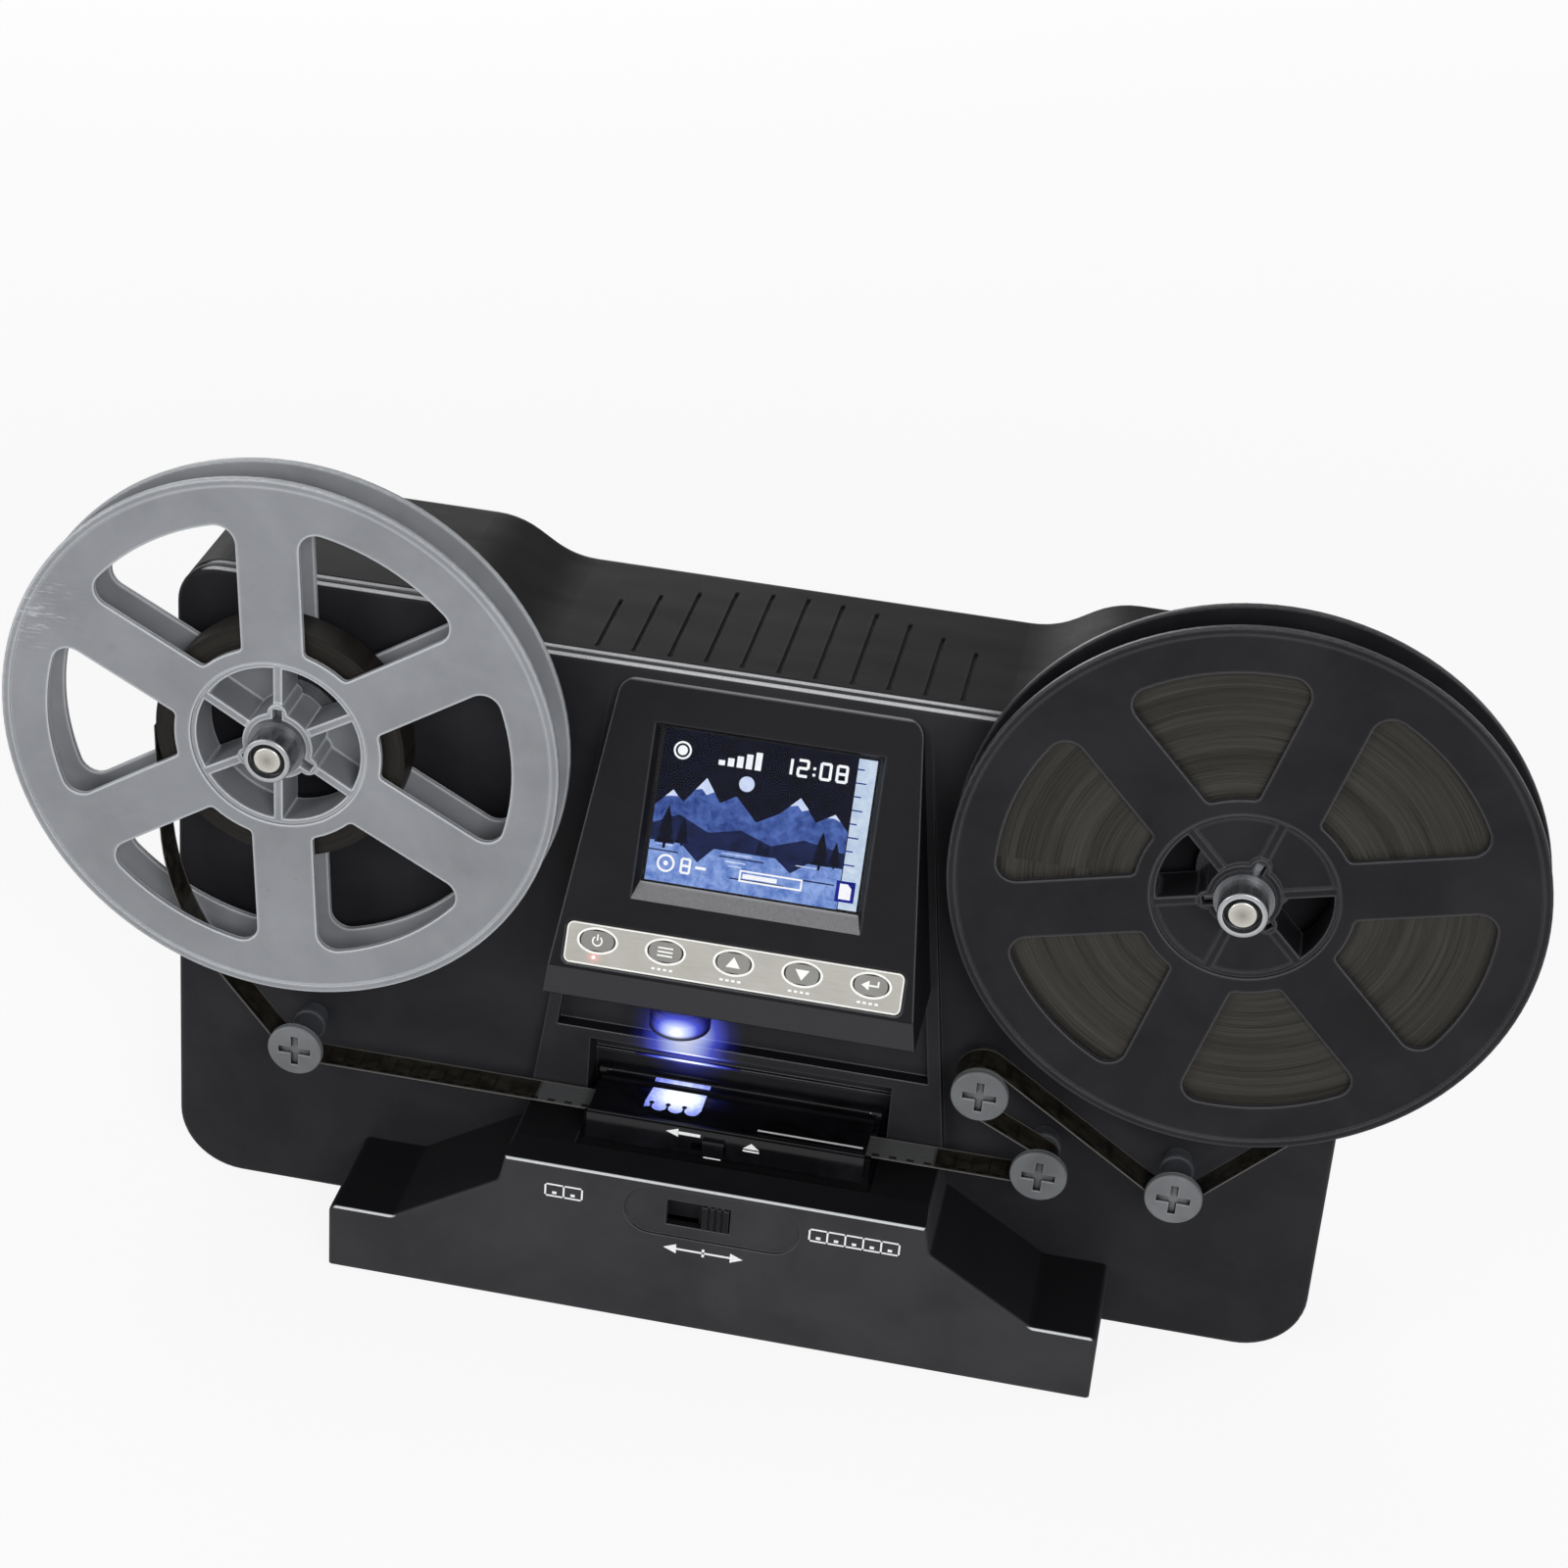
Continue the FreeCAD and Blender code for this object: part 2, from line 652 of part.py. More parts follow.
def front_housing():
    """The front moulding: panel, centre column, niche, bearing bosses and screw bosses."""
    plate = body_slab(0, 0, BODY_WALL)
    plate = softened(plate, FRONT_EDGE_RADIUS, lambda edge: on_plane_y(edge, 0))
    back = BODY_WALL + PARTING_GAP + LOCATING_LIP_DEPTH
    outer = BODY_WALL + SOCKET_CLEARANCE
    lip = body_slab(outer, BODY_WALL, back).cut(body_slab(outer + LOCATING_LIP_WALL, BODY_WALL, back))
    tray = box(
        -NICHE_HALF_WIDTH - NICHE_WALL, NICHE_HALF_WIDTH + NICHE_WALL, BODY_WALL, NICHE_BACK + NICHE_WALL,
        gate_floor() - NICHE_WALL, NICHE_HEIGHT + NICHE_WALL)
    solids = [plate, lip, column_envelope(), tray]
    ribs = niche_ribs()
    for x, z in boss_places():
        solids.append(rod(SCREW_RADIUS + BOSS_WALL, BODY_WALL, BOSS_JOINT_Y, x, z))
    for side in (-1, 1):
        solids.append(rod(bushing_radius() + BEARING_BOSS_WALL, 0, BUSHING_LENGTH, spindle_x(side), REEL_Z))
    for x, z in rollers().values():
        solids.append(rod(ROLLER_AXLE_RADIUS + BOSS_WALL, BODY_WALL, BOSS_JOINT_Y, x, z))
    return union([less(union(solids), front_housing_cuts())] + ribs)


def niche_ribs():
    """The low ribs across the niche's back wall."""
    ribs = []
    for i in range(NICHE_RIB_COUNT):
        z = NICHE_HEIGHT - (i + 1) * NICHE_RIB_PITCH
        front = NICHE_BACK - NICHE_RIB_HEIGHT
        ribs.append(box(-NICHE_HALF_WIDTH, NICHE_HALF_WIDTH, front, NICHE_BACK, z - NICHE_RIB_THICKNESS, z))
    return ribs


def gate_floor():
    """The height of the floor that the film gate stands on."""
    return TABLE_HEIGHT - GATE_RECESS_DEPTH


def bushing_radius():
    """The outer radius of the spindle bushings."""
    return SPINDLE_SHAFT_RADIUS + FIT_CLEARANCE + BUSHING_WALL


def front_housing_cuts():
    """Everything that is open in the front moulding."""
    wide = column_half_width(TABLE_HEIGHT)
    cuts = [box(-NICHE_HALF_WIDTH, NICHE_HALF_WIDTH, -BASE_DEPTH, NICHE_BACK, gate_floor(), NICHE_HEIGHT)]
    brow = box(-wide, wide, -BASE_DEPTH, 0, BROW_BOTTOM, lip_bottom())
    cuts.append(brow.common(trapezoid(lip_bottom(), BROW_BOTTOM, BROW_SIDE_WALL, -BASE_DEPTH, 0)))
    room = console_envelope(CONSOLE_WALL)
    cuts.append(room.common(box(-wide, wide, -BASE_DEPTH, BODY_WALL, lip_bottom(), COLUMN_TOP)))
    for x, z in boss_places():
        cuts.append(rod(SCREW_RADIUS + FIT_CLEARANCE, BODY_WALL, BOSS_JOINT_Y, x, z))
    for side in (-1, 1):
        cuts.append(rod(bushing_radius() + FIT_CLEARANCE, 0, BUSHING_LENGTH, spindle_x(side), REEL_Z))
    for x, z in rollers().values():
        cuts.append(rod(ROLLER_AXLE_RADIUS + FIT_CLEARANCE, 0, BOSS_JOINT_Y, x, z))
    return cuts


def rear_cover():
    """The rear shell with its top grooves, vents, screw tubes and socket openings."""
    front = BODY_WALL + PARTING_GAP
    shell = body_slab(0, front, BODY_DEPTH)
    shell = softened(shell, REAR_EDGE_RADIUS, lambda edge: on_plane_y(edge, BODY_DEPTH))
    shell = softened(shell, FRONT_EDGE_RADIUS, lambda edge: on_plane_y(edge, front))
    shell = shell.cut(body_slab(BODY_WALL, front, BODY_DEPTH - BODY_WALL))
    tubes = []
    cuts = []
    seat = screw_seat()
    well = SCREW_HEAD_RADIUS + SOCKET_CLEARANCE
    for x, z in boss_places():
        tubes.append(rod(well + BOSS_WALL, BOSS_JOINT_Y, BODY_DEPTH - BODY_WALL, x, z))
        cuts.append(rod(well, seat, BODY_DEPTH, x, z))
        cuts.append(rod(SCREW_RADIUS + FIT_CLEARANCE, BOSS_JOINT_Y, seat, x, z))
    cuts += top_grooves() + rear_vents() + socket_openings()
    return less(union([shell] + tubes), cuts)


def screw_seat():
    """How deep in its tube a housing screw's head sits."""
    return BOSS_JOINT_Y + BODY_WALL


def top_grooves():
    """The row of fine grooves over the saddle, longest in the middle."""
    cuts = []
    half = (GROOVE_COUNT - 1) / 2
    start = BODY_WALL + PARTING_GAP + GROOVE_START
    bottom = SADDLE_HEIGHT - GROOVE_DEPTH
    for i in range(GROOVE_COUNT):
        place = i - half
        x = place * GROOVE_PITCH
        share = (place / half) ** 2
        length = GROOVE_MIDDLE_LENGTH - share * (GROOVE_MIDDLE_LENGTH - GROOVE_OUTER_LENGTH)
        half_groove = GROOVE_WIDTH / 2
        cuts.append(box(x - half_groove, x + half_groove, start, start + length, bottom, SADDLE_HEIGHT + 1))
        cuts.append(upright(GROOVE_DOT_RADIUS, bottom, SADDLE_HEIGHT + 1, x, start))
    return cuts


def rear_vents():
    """The row of cooling slots in the rear wall."""
    cuts = []
    for i in range(VENT_COUNT):
        x = (i - (VENT_COUNT - 1) / 2) * VENT_PITCH
        cuts.append(oblong(
            x - VENT_WIDTH / 2, x + VENT_WIDTH / 2, VENT_BOTTOM, VENT_BOTTOM + VENT_HEIGHT,
            VENT_WIDTH / 2 - ARC_SLACK, BODY_DEPTH - 2 * BODY_WALL, BODY_DEPTH))
    return cuts


def socket_openings():
    """The rear wall's openings for the power jack, the USB port and the memory card."""
    inner = BODY_DEPTH - 2 * BODY_WALL
    card = SD_CARD_WIDTH / 2 + 2 * SOCKET_CLEARANCE
    card_height = SD_CARD_THICKNESS / 2 + 2 * SOCKET_CLEARANCE
    usb = USB_WIDTH / 2 + SOCKET_CLEARANCE
    usb_height = USB_HEIGHT / 2 + SOCKET_CLEARANCE
    openings = [rod(DC_JACK_RADIUS + SOCKET_CLEARANCE, inner, BODY_DEPTH, DC_JACK_X, SOCKET_Z)]
    for x, half, high in ((USB_PORT_X, usb, usb_height), (SD_SLOT_X, card, card_height)):
        openings.append(box(x - half, x + half, inner, BODY_DEPTH, SOCKET_Z - high, SOCKET_Z + high))
    return openings


def housing_screws():
    """The screws that join the rear cover to the front moulding."""
    seat = screw_seat()
    screws = []
    for x, z in boss_places():
        head = rod(SCREW_HEAD_RADIUS, seat, seat + SCREW_HEAD_HEIGHT, x, z)
        shank = rod(SCREW_RADIUS, seat + SCREW_HEAD_HEIGHT - SCREW_LENGTH, seat, x, z)
        recess = cross_recess(x, z, seat + SCREW_HEAD_HEIGHT, -1, SCREW_HEAD_RADIUS)
        screws.append(less(union([head, shank]), recess))
    return Part.makeCompound(screws)


def cross_recess(x, z, y, direction, radius):
    """The two bars of a cross recess sunk from the plane y in the given direction."""
    reach = radius * CROSS_RECESS_LENGTH / (2 * ROLLER_HEAD_RADIUS)
    half = radius * CROSS_RECESS_WIDTH / (2 * ROLLER_HEAD_RADIUS)
    low, high = sorted((y, y + direction * CROSS_RECESS_DEPTH))
    return [
        box(x - reach, x + reach, low, high, z - half, z + half),
        box(x - half, x + half, low, high, z - reach, z + reach),
    ]


# Base foot

def base_corners(inset):
    """The stepped outline of the base foot."""
    shift = inset * math.tan(math.atan2(TABLE_SLOPE_HEIGHT - WING_HEIGHT, slope_run()) / 2)
    wing = BASE_HALF_WIDTH - inset
    bottom = FOOT_HEIGHT
    convex = BASE_BLEND_RADIUS
    right = [
        (wing, bottom, 0),
        (wing, WING_HEIGHT - inset, max(BASE_CORNER_RADIUS - inset, 0)),
        (BASE_HALF_WIDTH - WING_WIDTH - shift, WING_HEIGHT - inset, convex),
        (TABLE_HALF_WIDTH + TABLE_SLOPE_OFFSET - inset, TABLE_SLOPE_HEIGHT - inset, convex / 2),
        (TABLE_HALF_WIDTH - inset, TABLE_HEIGHT - inset, max(TABLE_EDGE_RADIUS - inset, 0)),
    ]
    left = [(-x, z, radius) for x, z, radius in reversed(right)]
    return right + left


def slope_run():
    """How far across the base's slopes run."""
    return BASE_HALF_WIDTH - WING_WIDTH - TABLE_HALF_WIDTH - TABLE_SLOPE_OFFSET


def base_shell():
    """The foot's moulding: wings, raised table with the gate recess, and the switch pad."""
    outer = front_prism(base_corners(0), -BASE_DEPTH, 0)
    ramp = side_prism(
        [(-BASE_DEPTH, TABLE_HEIGHT - TABLE_FRONT_DROP, 0), (-GATE_RECESS_FRONT, TABLE_HEIGHT, 0),
         (-GATE_RECESS_FRONT, TABLE_HEIGHT + 1, 0), (-BASE_DEPTH, TABLE_HEIGHT + 1, 0)],
        -BASE_HALF_WIDTH, BASE_HALF_WIDTH)
    outer = outer.cut(ramp)
    low = FOOT_HEIGHT + TABLE_EDGE_RADIUS
    outer = softened(
        outer, TABLE_EDGE_RADIUS, lambda edge: on_plane_y(edge, -BASE_DEPTH) and edge.BoundBox.ZMin > low)
    inner = front_prism(base_corners(BASE_WALL), -BASE_DEPTH + BASE_WALL, 0)
    recess = box(
        -GATE_RECESS_HALF_WIDTH, GATE_RECESS_HALF_WIDTH, -GATE_RECESS_FRONT, 0, gate_floor(), TABLE_HEIGHT + 1)
    under = gate_floor() - BASE_WALL
    floor = box(-GATE_RECESS_HALF_WIDTH, GATE_RECESS_HALF_WIDTH, -GATE_RECESS_FRONT, 0, under, gate_floor())
    shell = union([outer.cut(inner), floor.common(outer), claw_guide()])
    cuts = [recess, light_shaft(under, gate_floor()), claw_slot(under, gate_floor())]
    return less(shell, cuts + select_cuts())


def select_cuts():
    """The shallow pad around the film select switch, and its slot."""
    pad_end = SELECT_PAD_HEIGHT / 2 - ARC_SLACK
    pad = oblong(
        -SELECT_PAD_LENGTH / 2, SELECT_PAD_LENGTH / 2, SELECT_PAD_Z - SELECT_PAD_HEIGHT / 2,
        SELECT_PAD_Z + SELECT_PAD_HEIGHT / 2, pad_end, -BASE_DEPTH, -BASE_DEPTH + SELECT_PAD_DEPTH)
    slot = box(
        SELECT_SLOT_X - SELECT_SLOT_LENGTH / 2, SELECT_SLOT_X + SELECT_SLOT_LENGTH / 2, -BASE_DEPTH,
        -BASE_DEPTH + BASE_WALL, SELECT_PAD_Z - SELECT_SLOT_HEIGHT / 2, SELECT_PAD_Z + SELECT_SLOT_HEIGHT / 2)
    return [pad, slot]


def base_plate():
    """The foot's bottom cover."""
    half = BASE_HALF_WIDTH - BASE_WALL - SOCKET_CLEARANCE
    front = -BASE_DEPTH + BASE_WALL + SOCKET_CLEARANCE
    return box(-half, half, front, 0, FOOT_HEIGHT, FOOT_HEIGHT + BASE_PLATE_THICKNESS)


def rubber_feet():
    """Four round feet: two under the base plate, two under the rear cover."""
    feet = []
    front = -BASE_DEPTH + FRONT_FOOT_INSET
    back = BODY_DEPTH - REAR_FOOT_INSET
    for side in (-1, 1):
        feet.append(upright(FOOT_RADIUS, 0, FOOT_HEIGHT, side * FRONT_FOOT_X, front))
        feet.append(upright(FOOT_RADIUS, 0, FOOT_HEIGHT, side * REAR_FOOT_X, back))
    return Part.makeCompound([softened(
        foot, FOOT_ROUND, lambda edge: abs(edge.BoundBox.ZMax) < SAME_PLANE) for foot in feet])


# Film select switch

def select_knob():
    """The sliding knob: a ribbed cap in the slot, a guide plate and a fork behind the wall."""
    right = SELECT_SLOT_X + SELECT_SLOT_LENGTH / 2 - SELECT_KNOB_CLEARANCE
    left = right - SELECT_KNOB_WIDTH
    half = SELECT_SLOT_HEIGHT / 2 - SELECT_KNOB_CLEARANCE
    wall_back = -BASE_DEPTH + BASE_WALL
    cap = box(left, right, -BASE_DEPTH, wall_back, SELECT_PAD_Z - half, SELECT_PAD_Z + half)
    inner = wall_back + FIT_CLEARANCE
    tall = half + KNOB_GUIDE
    guide = box(
        left - KNOB_GUIDE, right + KNOB_GUIDE, inner, wall_back + KNOB_GUIDE, SELECT_PAD_Z - tall,
        SELECT_PAD_Z + tall)
    link = box(left, right, wall_back, inner, SELECT_PAD_Z - half, SELECT_PAD_Z + half)
    grooves = []
    for i in range(KNOB_GROOVE_COUNT):
        x = left + SELECT_KNOB_WIDTH * (i + 1) / (KNOB_GROOVE_COUNT + 1)
        grooves.append(box(
            x - KNOB_GROOVE, x + KNOB_GROOVE, -BASE_DEPTH, -BASE_DEPTH + 2 * KNOB_GROOVE, SELECT_PAD_Z - half,
            SELECT_PAD_Z + half))
    return less(union([cap, link, guide]), grooves)


def select_travel():
    """How far the knob slides to the other end of its slot."""
    return SELECT_SLOT_LENGTH - SELECT_KNOB_WIDTH - 2 * SELECT_KNOB_CLEARANCE


def select_switch():
    """The slide switch body fixed behind the knob, on its two posts."""
    front = -BASE_DEPTH + BASE_WALL + KNOB_GUIDE + SOCKET_CLEARANCE
    half = (SELECT_SLOT_LENGTH + SELECT_TAB_WIDTH) / 2
    low = SELECT_PAD_Z - SELECT_SWITCH_HEIGHT / 2
    high = SELECT_PAD_Z + SELECT_SWITCH_HEIGHT / 2
    body = box(SELECT_SLOT_X - half, SELECT_SLOT_X + half, front, front + SELECT_SWITCH_DEPTH, low, high)
    tab_front = -BASE_DEPTH + BASE_WALL
    tabs = []
    for side in (-1, 1):
        x = SELECT_SLOT_X + side * (half + SELECT_TAB_WIDTH / 2)
        tabs.append(box(
            x - SELECT_TAB_WIDTH / 2, x + SELECT_TAB_WIDTH / 2, tab_front, front + SELECT_TAB_LAP, low, high))
    return union([body] + tabs)


# Console

def console_bezel():
    """The tilted console shell with the screen opening, the strip tray and the lens hole."""
    shell = console_envelope(0).cut(console_envelope(CONSOLE_WALL))
    behind = box(-BASE_HALF_WIDTH, BASE_HALF_WIDTH, 0, BODY_DEPTH, 0, SHOULDER_HEIGHT)
    shell = shell.cut([column_envelope(), behind])
    cuts = [screen_opening(), strip_tray()] + [button_hole(i) for i in range(len(BUTTON_NAMES))]
    bottom = lip_bottom()
    hole = LENS_RADIUS + SOCKET_CLEARANCE
    cuts.append(upright(hole, bottom - 1, bottom + 2 * CONSOLE_WALL, GATE_WINDOW_X, lens_y()))
    return less(shell, cuts)


def screen_opening():
    """The bevelled opening over the screen."""
    left = SCREEN_MIDDLE_X - SCREEN_HALF_WIDTH
    right = SCREEN_MIDDLE_X + SCREEN_HALF_WIDTH
    low = -SCREEN_TOP - SCREEN_HEIGHT
    inner = [(left, low), (right, low), (right, -SCREEN_TOP), (left, -SCREEN_TOP)]
    far_left = left - SCREEN_BEVEL_SIDE
    far_right = right + SCREEN_BEVEL_SIDE
    far_low = low - SCREEN_BEVEL_BOTTOM
    far_top = -SCREEN_TOP + SCREEN_BEVEL_TOP
    outer = [(far_left, far_low), (far_right, far_low), (far_right, far_top), (far_left, far_top)]
    wires = []
    for points, y in ((outer, 0), (inner, CONSOLE_WALL)):
        wires.append(Part.makePolygon([Vector(x, y, z) for x, z in points + points[:1]]))
    return on_console(Part.makeLoft(wires, True, True))


def strip_block(grow, y0, y1):
    """The button strip's outline on the flat face, grown by a clearance."""
    half = STRIP_HALF_WIDTH + grow
    low = -STRIP_TOP - STRIP_HEIGHT - grow
    return oblong(-half, half, low, -STRIP_TOP + grow, STRIP_CORNER_RADIUS, y0, y1)


def strip_tray():
    """The shallow tray that the strip lies in."""
    return on_console(strip_block(TRAY_CLEARANCE, 0, STRIP_THICKNESS))


def button_x(i):
    """A button's place across the console."""
    return (i - (len(BUTTON_NAMES) - 1) / 2) * BUTTON_PITCH


def button_oval(i, grow, y0, y1):
    """A button's oval on the flat face."""
    x = button_x(i)
    z = -STRIP_TOP - BUTTON_DROP
    half = BUTTON_LENGTH / 2 + grow
    high = BUTTON_HEIGHT / 2 + grow
    return oblong(x - half, x + half, z - high, z + high, high - ARC_SLACK, y0, y1)


def button_hole(i):
    """The hole through strip and wall that a button moves in."""
    return on_console(button_oval(i, BUTTON_CLEARANCE, -1, CONSOLE_WALL))


def button_strip():
    """The satin strip around the buttons."""
    strip = strip_block(0, 0, STRIP_THICKNESS)
    return less(on_console(strip), [button_hole(i) for i in range(len(BUTTON_NAMES))])


def button(i):
    """A button: its oval cap, and the flange that keeps it behind the wall."""
    cap = button_oval(i, 0, -BUTTON_PROUD, CONSOLE_WALL)
    cap = softened(cap, BUTTON_ROUND, lambda edge: on_plane_y(edge, -BUTTON_PROUD))
    flange = button_oval(i, BUTTON_FLANGE, CONSOLE_WALL, CONSOLE_WALL + BUTTON_FLANGE_THICKNESS)
    return on_console(union([cap, flange]))


def switch_top():
    """The depth of the small switches' plungers under the console's face."""
    return CONSOLE_WALL + BUTTON_FLANGE_THICKNESS + BUTTON_TRAVEL + SWITCH_GAP


def button_board():
    """The board with one small switch under each button, and its two spacers."""
    top = switch_top() + SWITCH_HEIGHT
    half = STRIP_HALF_WIDTH - CONSOLE_WALL
    middle = -STRIP_TOP - BUTTON_DROP
    board = box(-half, half, top, top + BOARD_THICKNESS, middle - SWITCH_SIZE, middle + SWITCH_SIZE)
    solids = [board]
    size = SWITCH_SIZE / 2
    for i in range(len(BUTTON_NAMES)):
        x = button_x(i)
        solids.append(box(x - size, x + size, switch_top(), top, middle - size, middle + size))
    for side in (-1, 1):
        x = side * (BUTTON_PITCH + BUTTON_PITCH / 2)
        solids.append(box(x - 1, x + 1, CONSOLE_WALL, top, middle - size, middle + size))
    return on_console(union(solids))


def screen_block(margin, y0, y1):
    """A block behind the screen opening, with a margin all round."""
    half = SCREEN_HALF_WIDTH + margin
    low = -SCREEN_TOP - SCREEN_HEIGHT - margin
    block = box(SCREEN_MIDDLE_X - half, SCREEN_MIDDLE_X + half, y0, y1, low, -SCREEN_TOP + margin)
    return on_console(block)


def screen_window():
    """The clear window behind the bevelled opening."""
    return screen_block(WINDOW_MARGIN, CONSOLE_WALL, CONSOLE_WALL + WINDOW_THICKNESS)


def lcd_module():
    """The screen panel behind the window."""
    front = CONSOLE_WALL + WINDOW_THICKNESS
    return screen_block(WINDOW_MARGIN, front, front + LCD_THICKNESS)


# Film gate

def film_plane():
    """The height at which the film runs through the gate, under the low rollers."""
    return ROLLER_LOW_Z - ROLLER_SLEEVE_RADIUS - FILM_GAP - FILM_THICKNESS / 2


def film_front():
    """The film's front edge, midway between the reels' flanges."""
    return -REEL_FRONT + (REEL_WIDTH - FILM_WIDTH) / 2


def lens_y():
    """The depth of the lens axis, over the middle of the film."""
    return film_front() + FILM_WIDTH / 2


def channel_floor():
    """The floor of the film channel."""
    return film_plane() - FILM_THICKNESS / 2 - GATE_CLEARANCE


def door_bottom():
    """The underside of the closed door, just over the channel's rails."""
    return channel_floor() + GATE_RAIL_HEIGHT + GATE_CLEARANCE


def hinge_z():
    """The height of the gate's hinge pin."""
    return door_bottom() + GATE_DOOR_THICKNESS - GATE_HINGE_RADIUS + GATE_HINGE_RISE


def light_shaft(z0, z1):
    """The shaft that the light rises through."""
    half = APERTURE_WIDTH / 2 + 1
    deep = APERTURE_DEPTH / 2 + 1
    return box(GATE_WINDOW_X - half, GATE_WINDOW_X + half, lens_y() - deep, lens_y() + deep, z0, z1)


def claw_y():
    """The depth of the claw, under the film's perforations."""
    return film_front() + PERFORATION_INSET


def claw_slot(z0, z1):
    """The slot that the claw's tooth moves in."""
    half = CLAW_TOOTH_WIDTH / 2 + CLAW_STROKE + SOCKET_CLEARANCE
    deep = CLAW_THICKNESS / 2 + SOCKET_CLEARANCE
    return box(ADVANCE_X - half, ADVANCE_X + half, claw_y() - deep, claw_y() + deep, z0, z1)


def bed_front():
    """The front face of the gate bed, behind the door's skirt and the latch."""
    return -GATE_FRONT + GATE_SKIRT_THICKNESS + 2 * GATE_CLEARANCE + LATCH_PLATE_THICKNESS


def gate_bed():
    """The block that guides the film, with its rails, light shaft, claw slot and hinge ears."""
    step = GATE_HINGE_Y - GATE_HINGE_RADIUS - GATE_CLEARANCE
    rail_top = channel_floor() + GATE_RAIL_HEIGHT
    rear_top = hinge_z() - GATE_HINGE_RADIUS - GATE_CLEARANCE
    ear = GATE_HINGE_RADIUS - GATE_CLEARANCE
    half = GATE_BED_HALF_WIDTH
    solids = [
        box(-half, half, bed_front(), step, gate_floor(), channel_floor()),
        box(-half, half, step, NICHE_BACK - NICHE_RIB_HEIGHT - GATE_CLEARANCE, gate_floor(), rear_top),
    ]
    for edge, side in ((film_front(), -1), (film_front() + FILM_WIDTH, 1)):
        near = edge + side * FILM_EDGE_GAP
        low, high = sorted((near, near + side * GATE_RAIL_WIDTH))
        solids.append(box(-half, half, low, high, channel_floor(), rail_top))
    for side in (-1, 1):
        low, high = sorted((side * half, side * (half - GATE_EAR_WIDTH)))
        solids.append(crossbar(GATE_HINGE_RADIUS, low, high, GATE_HINGE_Y, hinge_z()))
        solids.append(box(low, high, GATE_HINGE_Y - ear, GATE_HINGE_Y + ear, gate_floor(), hinge_z()))
    cuts = [light_shaft(gate_floor(), channel_floor()), claw_slot(gate_floor(), channel_floor())]
    cuts.append(crossbar(HINGE_PIN_RADIUS + FIT_CLEARANCE, -half, half, GATE_HINGE_Y, hinge_z()))
    return less(union(solids), cuts)


def hinge_pin():
    """The gate's hinge pin."""
    return crossbar(HINGE_PIN_RADIUS, -GATE_BED_HALF_WIDTH, GATE_BED_HALF_WIDTH, GATE_HINGE_Y, hinge_z())


def gate_door():
    """The gate's door: ridged lid, front skirt, film window and hinge barrel."""
    half = GATE_DOOR_HALF_WIDTH
    top = door_bottom() + GATE_DOOR_THICKNESS
    barrel_half = GATE_BED_HALF_WIDTH - GATE_EAR_WIDTH - GATE_CLEARANCE
    step = GATE_HINGE_Y - GATE_HINGE_RADIUS
    skirt_back = -GATE_FRONT + GATE_SKIRT_THICKNESS
    neck_low = door_bottom() + GATE_NECK_STEP
    solids = [
        box(-half, half, -GATE_FRONT, step - 2, door_bottom(), top),
        box(-barrel_half, barrel_half, step - 2, GATE_HINGE_Y, neck_low, top - GATE_NECK_STEP),
        box(-half, half, -GATE_FRONT, skirt_back, GATE_SKIRT_BOTTOM, door_bottom()),
        crossbar(GATE_HINGE_RADIUS, -barrel_half, barrel_half, GATE_HINGE_Y, hinge_z()),
    ]
    for y in (-GATE_FRONT + GATE_RIDGE_INSET, step - 2 - GATE_RIDGE_WIDTH - GATE_RIDGE_INSET):
        solids.append(box(-half, half, y, y + GATE_RIDGE_WIDTH, top, top + GATE_RIDGE_HEIGHT))
    long_edge = GATE_DOOR_HALF_WIDTH
    door = softened(
        union(solids), GATE_EDGE_RADIUS,
        lambda edge: on_plane_y(edge, -GATE_FRONT) and edge.BoundBox.XLength > long_edge)
    wide = GATE_WINDOW_WIDTH / 2
    deep = GATE_WINDOW_DEPTH / 2
    middle = lens_y() + GATE_WINDOW_OFFSET
    slot_half = LATCH_WIDTH / 2
    neck = LATCH_NECK_HEIGHT / 2 + FIT_CLEARANCE
    left = GATE_WINDOW_X - wide
    cuts = [
        box(left, left + GATE_WINDOW_WIDTH, middle - deep, middle + deep, door_bottom() - 1, top + 1),
        crossbar(HINGE_PIN_RADIUS + FIT_CLEARANCE, -half, half, GATE_HINGE_Y, hinge_z()),
        box(
            LATCH_X - slot_half - LATCH_TRAVEL, LATCH_X + slot_half, -GATE_FRONT, skirt_back,
            latch_z() - neck, latch_z() + neck),
    ]
    return less(door, cuts)


def latch_z():
    """The height of the latch's middle on the door's skirt."""
    return (GATE_SKIRT_BOTTOM + door_bottom()) / 2


def gate_latch():
    """The sliding latch: a thumb tab outside, a neck through the skirt and a plate inside."""
    left = LATCH_X - LATCH_WIDTH / 2 + SOCKET_CLEARANCE
    right = LATCH_X + LATCH_WIDTH / 2 - SOCKET_CLEARANCE
    high = (door_bottom() - GATE_SKIRT_BOTTOM) / 2 - LATCH_END_GAP
    front = -GATE_FRONT
    back = front + GATE_SKIRT_THICKNESS
    middle = latch_z()
    neck = LATCH_NECK_HEIGHT / 2
    plate = neck + 1
    return union([
        box(left, right, front - LATCH_PROUD, front, middle - high, middle + high),
        box(left, right, front, back, middle - neck, middle + neck),
        box(left, right, back, back + LATCH_PLATE_THICKNESS, middle - plate, middle + plate),
    ])


